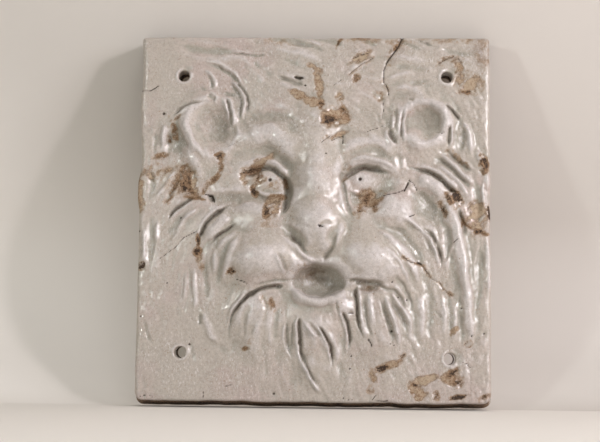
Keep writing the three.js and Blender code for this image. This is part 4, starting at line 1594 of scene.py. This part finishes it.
@dataclass(frozen=True)
class GlazeFinish:
    """Crackled off-white glaze over brown clay; the mesh's own fields say where each of them is.

    First the colours, then the gloss, the bumps' heights in metres, the noises, the cells in a metre of
    the scattered patterns, and how strongly each pattern shows or shifts an edge.
    """

    body: tuple = rgb(181, 172, 162)
    # Paler on ridges and darker in hollows: glaze thinning and pooling, and painted light and painted shade.
    thin_and_painted_light: tuple = rgb(200, 193, 189)
    pooled_and_painted_shade: tuple = rgb(163, 158, 147)
    blush: tuple = rgb(184, 169, 162)
    buff: tuple = rgb(172, 154, 132)
    brown: tuple = rgb(132, 104, 78)
    dark: tuple = rgb(52, 38, 28)
    brink: tuple = rgb(112, 86, 62)
    seep: tuple = rgb(222, 205, 184)
    grime: tuple = rgb(102, 80, 67)
    glint: tuple = rgb(232, 228, 228)

    glaze_rough: float = 0.3
    clay_rough: float = 0.8
    matt_share: float = 0.6
    coat_rough: float = 0.07

    ripple_height: float = 0.00034
    bead_height: float = 0.0004
    grit_height: float = 0.0004

    clouds: Grain = Grain(22.0, 3.0, 0.55)
    grime_and_painted_shade_patches: Grain = Grain(240.0, 3.0, 0.65)
    mottles: Grain = Grain(420.0, 5.0, 0.75)
    fleck_groups: Grain = Grain(60.0)
    dust: Grain = Grain(900.0, 2.0, 0.6)
    glint_areas: Grain = Grain(28.0, 3.0)
    glints: Grain = Grain(900.0, 2.0, 0.6)
    bends: Grain = Grain(400.0)
    blotches: Grain = Grain(560.0, 5.0, 0.8)
    grit: Grain = Grain(900.0, 3.0, 0.7)
    flakes: Grain = Grain(330.0, 5.0, 0.7)
    seep_patches: Grain = Grain(150.0, 4.0, 0.7)
    ripples: Grain = Grain(260.0, 5.0, 0.7)
    sheens: Grain = Grain(35.0)
    bead_groups: Grain = Grain(45.0, 3.0)

    fleck_scale: float = 190.0
    craze_scale: float = 330.0
    bead_scale: float = 230.0

    fleck_tint: float = 0.6
    dust_tint: float = 0.5
    glint_tint: float = 0.42
    craze_tint: float = 0.2
    brink_tint: float = 0.75
    blotch_swing: float = 2.9
    flake_swing: float = 1.5
    grit_swing: float = 1.1
    seep_swing: float = 1.1
    bend_reach: float = 0.0012
    glint_stretch: tuple = (1.0, 1.0, 0.4)

    def clay_colour(self, graph: Graph, shade: Socket) -> Socket:
        """Colour of bared clay, from buff over brown to dark, blotched by noise.

        Args:
            graph: the material's nodes.
            shade: how dark the clay is.

        Returns:
            The colour.
        """
        tone = graph.plus(shade, graph.swing(graph.noise(self.blotches), self.blotch_swing))
        pale = graph.blend(graph.ramp(tone, -0.1, 0.6), self.buff, self.brown)
        return graph.blend(graph.ramp(tone, 0.55, 0.95), pale, self.dark)

    def glaze_colour(self, graph: Graph, swell: Socket, grime: Socket) -> Socket:
        """Colour of the glaze: greener and darker where it gathers in hollows and paler on ridges, partly
        glaze pooling and thinning and partly painted shade and painted light; dark brown in its clefts and
        washes.

        Args:
            graph: the material's nodes.
            swell: how far the clay stands out there.
            grime: how dark brown it is made, by painted shade in clefts and hollows and by soiling.

        Returns:
            The colour, before what is sprinkled on it.
        """
        colour = graph.blend(graph.ramp(graph.noise(self.clouds), 0.45, 0.75), self.body, self.blush)
        # Painted shade in hollows and painted light on ridges, with the glaze's own pooling.
        colour = graph.blend(graph.ramp(swell, 0.0, -0.7), colour, self.pooled_and_painted_shade)
        colour = graph.blend(graph.ramp(swell, 0.05, 0.7), colour, self.thin_and_painted_light)
        # Dark brown over clefts and washed hollows: painted shade, with soiling and stains.
        patchy = graph.ramp(graph.noise(self.grime_and_painted_shade_patches), 0.35, 0.62, 0.25, 1.0)
        colour = graph.blend(graph.times(grime, patchy), colour, self.grime)
        mottle = graph.ramp(graph.noise(self.mottles), 0.3, 0.7, 0.84, 1.06)
        grey = graph.add("CombineColor", {0: mottle, 1: mottle, 2: mottle})
        return graph.blend(1.0, colour, grey, "MULTIPLY")

    def sprinkled(self, graph: Graph, colour: Socket) -> Socket:
        """Adds what is finer: brown flecks in groups, brown dust, pale glints and the crackle.

        Args:
            graph: the material's nodes.
            colour: the glaze's colour.

        Returns:
            The colour with all of them.
        """
        some = graph.ramp(graph.noise(self.fleck_groups), 0.55, 0.6)
        cells = graph.add("TexVoronoi", {"Vector": graph.place, "Scale": self.fleck_scale})
        fleck = graph.times(graph.ramp(cells, 0.16, 0.08), some)
        colour = graph.blend(graph.times(fleck, self.fleck_tint), colour, self.brown)
        dust = graph.ramp(graph.noise(self.dust), 0.58, 0.74, 0.0, self.dust_tint)
        colour = graph.blend(dust, colour, self.brown)
        lively = graph.ramp(graph.noise(self.glint_areas), 0.42, 0.6, 0.15, 1.0)
        stretched = graph.vector("MULTIPLY", graph.place, self.glint_stretch)
        glint = graph.ramp(graph.noise(self.glints, stretched), 0.55, 0.7, 0.0, self.glint_tint)
        colour = graph.blend(graph.times(glint, lively), colour, self.glint)
        return graph.blend(graph.times(self.crackle(graph), self.craze_tint), colour, self.brown)

    def crackle(self, graph: Graph) -> Socket:
        """Hairlines between the cells of a Voronoi pattern on slightly bent places.

        Args:
            graph: the material's nodes.

        Returns:
            1 on a hairline and 0 off it.
        """
        bend = graph.vector("MULTIPLY", graph.noise(self.bends, output="Color"), (self.bend_reach,) * 3)
        bent = {"Vector": graph.vector("ADD", graph.place, bend), "Scale": self.craze_scale}
        return graph.ramp(graph.add("TexVoronoi", bent, feature="DISTANCE_TO_EDGE"), 0.05, 0.0)

    def seeping(self, graph: Graph, bare: Socket, flaked: Socket) -> Socket:
        """How far the glaze beside a chip is soaked brown, in uneven patches.

        Args:
            graph: the material's nodes.
            bare: the field of bared clay.
            flaked: the noise that the chips' edges follow.

        Returns:
            The share from 0 to 1.
        """
        soaked = graph.ramp(graph.plus(bare, graph.swing(flaked, self.seep_swing)), 0.12, 0.5)
        uneven = graph.ramp(graph.noise(self.seep_patches), 0.36, 0.6, 0.35, 1.0)
        return graph.times(soaked, graph.times(graph.ramp(bare, 0.0, 0.1), uneven))

    def relief(self, graph: Graph, grit: Socket, bared: Socket) -> Socket:
        """Normals of the finest relief: ripples, beads of glaze in groups and the clay's grit.

        Args:
            graph: the material's nodes.
            grit: the clay's noise.
            bared: where the clay is bare.

        Returns:
            The normals.
        """
        rippled = graph.bump(graph.noise(self.ripples), self.ripple_height, 1.0)
        sown = graph.ramp(graph.noise(self.bead_groups), 0.5, 0.6)
        cells = graph.add("TexVoronoi", {"Vector": graph.place, "Scale": self.bead_scale})
        beads = graph.times(graph.ramp(cells, 0.2, 0.0), sown)
        beaded = graph.bump(beads, self.bead_height, 1.0, rippled)
        return graph.bump(graph.times(grit, bared), self.grit_height, 0.8, beaded)

    def roughness(self, graph: Graph, broken: Socket, matt: Socket) -> Socket:
        """Roughness: uneven on the glaze, and raised towards the clay's where it is broken or matt.

        Args:
            graph: the material's nodes.
            broken: where the glaze is gone or split.
            matt: where it is rubbed or dirty.

        Returns:
            The roughness.
        """
        low, high = self.glaze_rough - 0.08, self.glaze_rough + 0.1
        sheen = graph.ramp(graph.noise(self.sheens), 0.35, 0.65, low, high)
        dulled = graph.most(broken, graph.times(matt, self.matt_share))
        return graph.plus(sheen, graph.times(dulled, self.clay_rough - self.glaze_rough), clamp=True)

    def build(self) -> bpy.types.Material:
        """Makes the material.

        The clay is bare where the bare field, shifted by the noises of flakes and grit, passes 0.6 to 0.72,
        and the glaze has a brown brink about there, of soiling and painted shade of its step. The coat lies
        only on whole, shiny glaze.

        Returns:
            The material, for the plaque's one slot.
        """
        material = bpy.data.materials.new("glaze")
        material.use_nodes = True
        tree = material.node_tree
        tree.nodes.clear()
        graph = Graph(tree)
        names = ("bare", "shade", "crack", "swell", "grime", "matt")
        fields = [graph.add("Attribute", {}, "Fac", attribute_name=name) for name in names]
        bare, shade, crack, swell, grime, matt = fields
        grit, flaked = graph.noise(self.grit), graph.noise(self.flakes)
        edge = graph.plus(bare, graph.swing(flaked, self.flake_swing))
        edge = graph.plus(edge, graph.swing(grit, self.grit_swing))
        bared = graph.times(graph.ramp(edge, 0.6, 0.72), graph.ramp(bare, 0.3, 0.5))
        split = graph.ramp(graph.plus(crack, graph.times(grit, 0.4)), 0.4, 0.95)
        # Brown line round each chip: soiling, and painted shade at the glaze's step.
        from_edge = graph.math("ABSOLUTE", graph.math("SUBTRACT", edge, 0.62))
        brink = graph.ramp(from_edge, 0.13, 0.0, 0.0, self.brink_tint)
        brink = graph.times(brink, graph.ramp(bare, 0.25, 0.5))
        colour = self.sprinkled(graph, self.glaze_colour(graph, swell, grime))
        colour = graph.blend(self.seeping(graph, bare, flaked), colour, self.seep, "MULTIPLY")
        colour = graph.blend(bared, colour, self.clay_colour(graph, shade))
        colour = graph.blend(brink, colour, self.brink)
        colour = graph.blend(split, colour, self.dark)
        broken = graph.most(bared, split)
        normal = self.relief(graph, grit, bared)
        coat = graph.times(graph.ramp(broken, 0.0, 0.6, 1.0, 0.0), graph.ramp(matt, 0.0, 1.0, 1.0, 0.0))
        shader = tree.nodes.new("ShaderNodeBsdfPrincipled")
        wires = {
            "Base Color": colour,
            "Roughness": self.roughness(graph, broken, matt),
            "Normal": normal,
            "Coat Normal": normal,
            "Coat Weight": coat,
        }
        for name, source in wires.items():
            tree.links.new(source, shader.inputs[name])
        shader.inputs["Coat Roughness"].default_value = self.coat_rough
        output = tree.nodes.new("ShaderNodeOutputMaterial")
        tree.links.new(shader.outputs[0], output.inputs["Surface"])
        return material


@dataclass(frozen=True)
class PaperFinish:
    """Matt pale paper; one_sided paper can be seen only from its front.

    glow is how strongly its lower left glows, painted light on the backdrop, and backlight how strongly a
    patch behind the plaque glows to light the plaque's back. Places are metres from the plaque's middle: each
    pair is where its light or its screen starts and ends.
    """

    name: str
    colour: tuple
    one_sided: bool = False
    glow: float = 0.0
    backlight: float = 0.0
    rough: float = 0.95
    specular: float = 0.1
    glow_along: Triple = (0.6, 0.0, 1.0)
    glow_fall: Pair = (-0.22, 0.02)
    screen_side: Pair = (0.122, 0.14)
    screen_foot: Pair = (-0.13, -0.145)
    window_side: Pair = (0.105, 0.06)
    window_top: Pair = (0.09, 0.03)
    window_foot: Pair = (-0.13, -0.07)

    def shine(self, graph: Graph) -> Socket:
        """How strongly the paper shines.

        The glow, painted light, falls along glow_along and is screened off behind the plaque. The backlight
        glows in a softly bounded window behind the plaque, lights its back, and can't itself be seen by the
        camera.

        Args:
            graph: the material's nodes.

        Returns:
            The emission's strength.
        """
        level = graph.vector("DOT_PRODUCT", graph.place, self.glow_along, "Value")
        across = graph.math("ABSOLUTE", graph.add("SeparateXYZ", {0: graph.place}, "X"))
        up = graph.add("SeparateXYZ", {0: graph.place}, "Z")
        beside = graph.most(graph.ramp(across, *self.screen_side), graph.ramp(up, *self.screen_foot))
        glow = graph.times(graph.ramp(level, *self.glow_fall, self.glow, 0.0), beside)
        window = graph.times(graph.ramp(across, *self.window_side), graph.ramp(up, *self.window_top))
        window = graph.times(window, graph.ramp(up, *self.window_foot))
        unseen = graph.math("SUBTRACT", 1.0, graph.add("LightPath", {}, "Is Camera Ray"))
        return graph.most(glow, graph.times(graph.times(window, unseen), self.backlight))

    def build(self) -> bpy.types.Material:
        """Makes the material.

        Returns:
            The material, for a piece of the stage.
        """
        material = bpy.data.materials.new(self.name)
        material.use_nodes = True
        tree = material.node_tree
        shader = tree.nodes["Principled BSDF"]
        shader.inputs["Base Color"].default_value = self.colour
        shader.inputs["Roughness"].default_value = self.rough
        shader.inputs["Specular IOR Level"].default_value = self.specular
        if self.glow > 0:
            shader.inputs["Emission Color"].default_value = self.colour
            tree.links.new(self.shine(Graph(tree)), shader.inputs["Emission Strength"])
        if self.one_sided:
            facing = tree.nodes.new("ShaderNodeNewGeometry")
            clear = tree.nodes.new("ShaderNodeBsdfTransparent")
            mix = tree.nodes.new("ShaderNodeMixShader")
            tree.links.new(facing.outputs["Backfacing"], mix.inputs[0])
            tree.links.new(shader.outputs[0], mix.inputs[1])
            tree.links.new(clear.outputs[0], mix.inputs[2])
            tree.links.new(mix.outputs[0], tree.nodes["Material Output"].inputs["Surface"])
        return material


# ---- studio ----


@dataclass(frozen=True)
class Lamp:
    """A round soft lamp: direction is from the plaque towards it, and the beam points back.

    distance and radius are metres. A lamp that isn't mirrored lights the plaque without showing as a
    gleam in its glaze.
    """

    name: str
    direction: Triple
    watts: float
    colour: Triple
    distance: float = 1.6
    radius: float = 0.06
    mirrored: bool = True

    def place(self) -> None:
        """Adds the lamp to the scene."""
        light = bpy.data.lights.new(self.name, "AREA")
        light.shape, light.size = "DISK", 2 * self.radius
        light.energy, light.color = self.watts, self.colour
        toward = Vector(self.direction).normalized()
        lamp = bpy.data.objects.new(self.name, light)
        lamp.location = toward * self.distance
        lamp.rotation_mode = "QUATERNION"
        lamp.rotation_quaternion = toward.to_track_quat("Z", "Y")
        lamp.visible_glossy = self.mirrored
        lamp.visible_camera = False
        bpy.context.scene.collection.objects.link(lamp)


@dataclass
class Studio:
    """Plain pale paper, soft lamps, even surroundings and the camera.

    A sheet comes down from above, past the plaque's top back edge, and turns back to its foot. It is
    seen only from the front, so that the plaque's back can be looked at. Its profile is in millimetres,
    each point a place back and up: past top to bend, where it turns with radius turn, and to foot,
    where radius toe lays it level. sheet_reach is how far up it starts, from bend.
    """

    # The sheet glows at its lower left: painted light that brightens the backdrop there.
    paper: PaperFinish = PaperFinish("paper_sheet", rgb(206, 201, 195), True, 0.26, 1.3)
    ground: PaperFinish = PaperFinish("paper_floor", rgb(232, 228, 222))
    sky: tuple = rgb(214, 210, 204)
    sky_strength: float = 0.39
    top: Pair = (4.0, 151.0)
    bend: Pair = (137.0, -63.0)
    foot: Pair = (22.0, -154.0)
    turn: float = 90.0
    toe: float = 70.0
    sheet_reach: float = 2600.0
    sheet_side: float = 20000.0
    floor_side: float = 20000.0
    floor_level: float = -154.2
    lamps: tuple[Lamp, ...] = (
        Lamp("lamp_right", (0.98, -1.0, 0.42), 7.4, (1.0, 0.93, 0.97)),
        Lamp("lamp_left", (-0.77, -1.0, 0.19), 4.2, (0.93, 1.0, 0.97)),
        Lamp("soft_above", (0.2, -0.8, 0.65), 3.2, (1.0, 1.0, 1.0), 1.7, 0.25, mirrored=False),
        Lamp("soft_right", (1.15, -0.85, 0.3), 25.0, (0.98, 0.96, 1.0), 2.6, 0.5),
    )

    def profile(self) -> list[np.ndarray]:
        """Points of the sheet's profile, from its far top to where it lies level at its foot.

        The turn is a quarter round between the two straight stretches' directions, and the toe an arc
        from the lower stretch's slope to level.

        Returns:
            Places back and up, in millimetres.
        """
        top, bend, foot = np.array(self.top), np.array(self.bend), np.array(self.foot)
        rise = (top - bend) / np.hypot(*(top - bend))
        run = (foot - bend) / np.hypot(*(foot - bend))
        turned = [bend + self.turn * ((1 - math.sin(a)) * rise + (1 - math.cos(a)) * run)
                  for a in np.linspace(0.0, math.pi / 2, 12)]
        slope = math.atan2(-run[1], -run[0])
        start = foot[0] - self.toe * math.tan(slope / 2)
        level = [np.array([start + self.toe * math.sin(a), foot[1] + self.toe * (1 - math.cos(a))])
                 for a in np.linspace(slope, 0.0, 8)]
        return [bend + self.sheet_reach * rise, *turned, *level]

    def sheet(self) -> bpy.types.Object:
        """Makes the sheet: its profile drawn out sideways.

        Returns:
            The sheet, facing the front.
        """
        profile = self.profile()
        mesh = bpy.data.meshes.new("paper_sheet")
        points = [(side * self.sheet_side * MM, y * MM, z * MM) for y, z in profile for side in (-1, 1)]
        faces = [(2 * i, 2 * i + 2, 2 * i + 3, 2 * i + 1) for i in range(len(profile) - 1)]
        mesh.from_pydata(points, [], faces)
        mesh.polygons.foreach_set("use_smooth", [True] * len(faces))
        return self.set(mesh, self.paper)

    def floor(self) -> bpy.types.Object:
        """Makes the level floor at the plaque's foot.

        Returns:
            The floor, facing up.
        """
        mesh = bpy.data.meshes.new("paper_floor")
        side, level = self.floor_side * MM, self.floor_level * MM
        corners = [(side * x, side * y, level) for x, y in ((-1, -1), (1, -1), (1, 1), (-1, 1))]
        mesh.from_pydata(corners, [], [(0, 1, 2, 3)])
        return self.set(mesh, self.ground)

    def set(self, mesh: bpy.types.Mesh, finish: PaperFinish) -> bpy.types.Object:
        """Gives a mesh its paper and puts it in the scene.

        Args:
            mesh: the paper's mesh, which also names the object.
            finish: the paper.

        Returns:
            The object.
        """
        mesh.update()
        mesh.materials.append(finish.build())
        made = bpy.data.objects.new(mesh.name, mesh)
        bpy.context.scene.collection.objects.link(made)
        return made

    def build(self) -> None:
        """Sets up the paper, the lamps and the surroundings."""
        self.sheet()
        self.floor()
        for lamp in self.lamps:
            lamp.place()
        world = bpy.data.worlds.new("surroundings")
        world.use_nodes = True
        background = world.node_tree.nodes["Background"]
        background.inputs["Color"].default_value = self.sky
        background.inputs["Strength"].default_value = self.sky_strength
        bpy.context.scene.world = world
        bpy.context.scene.view_settings.view_transform = "Standard"


@dataclass(frozen=True)
class Viewpoint:
    """The camera, by the degrees of the direction it is seen in: yaw to the right, pitch up, roll.

    distance and aim are metres, and lens is the focal length in millimetres.
    """

    yaw: float = 1.73
    pitch: float = -6.21
    roll: float = 0.67
    distance: float = 1.0
    aim: Triple = (-0.0112, -0.026, -0.0037)
    lens: float = 74.1
    nearest: float = 0.01

    def place(self) -> None:
        """Makes the camera, looking at aim from the direction, and the scene's camera of it."""
        yaw, pitch, roll = (math.radians(angle) for angle in (self.yaw, self.pitch, self.roll))
        back = Vector((math.sin(yaw) * math.cos(pitch), -math.cos(yaw) * math.cos(pitch), math.sin(pitch)))
        right = (-back).cross(Vector((0.0, 0.0, 1.0))).normalized()
        up = right.cross(-back)
        level = Matrix((right, up, back)).transposed().to_4x4()
        camera = bpy.data.objects.new("camera", bpy.data.cameras.new("camera"))
        camera.data.lens = self.lens
        camera.data.clip_start = self.nearest
        moved = Matrix.Translation(Vector(self.aim) + back * self.distance)
        camera.matrix_world = moved @ level @ Matrix.Rotation(roll, 4, "Z")
        bpy.context.scene.collection.objects.link(camera)
        bpy.context.scene.camera = camera


def main() -> None:
    """Builds the plaque and its studio, and writes down how big the plaque came out."""
    logging.basicConfig(level=logging.INFO, format="%(name)s: %(message)s")
    plaque = Slab().build()
    plaque.data.materials.append(GlazeFinish().build())
    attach(plaque, "root")
    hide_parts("plaque")
    LOG.info("plaque_shell: %d points, %d faces", len(plaque.data.vertices), len(plaque.data.polygons))
    Studio().build()
    Viewpoint().place()
    LOG.info("studio and camera are set")


if __name__ == "__main__":
    main()
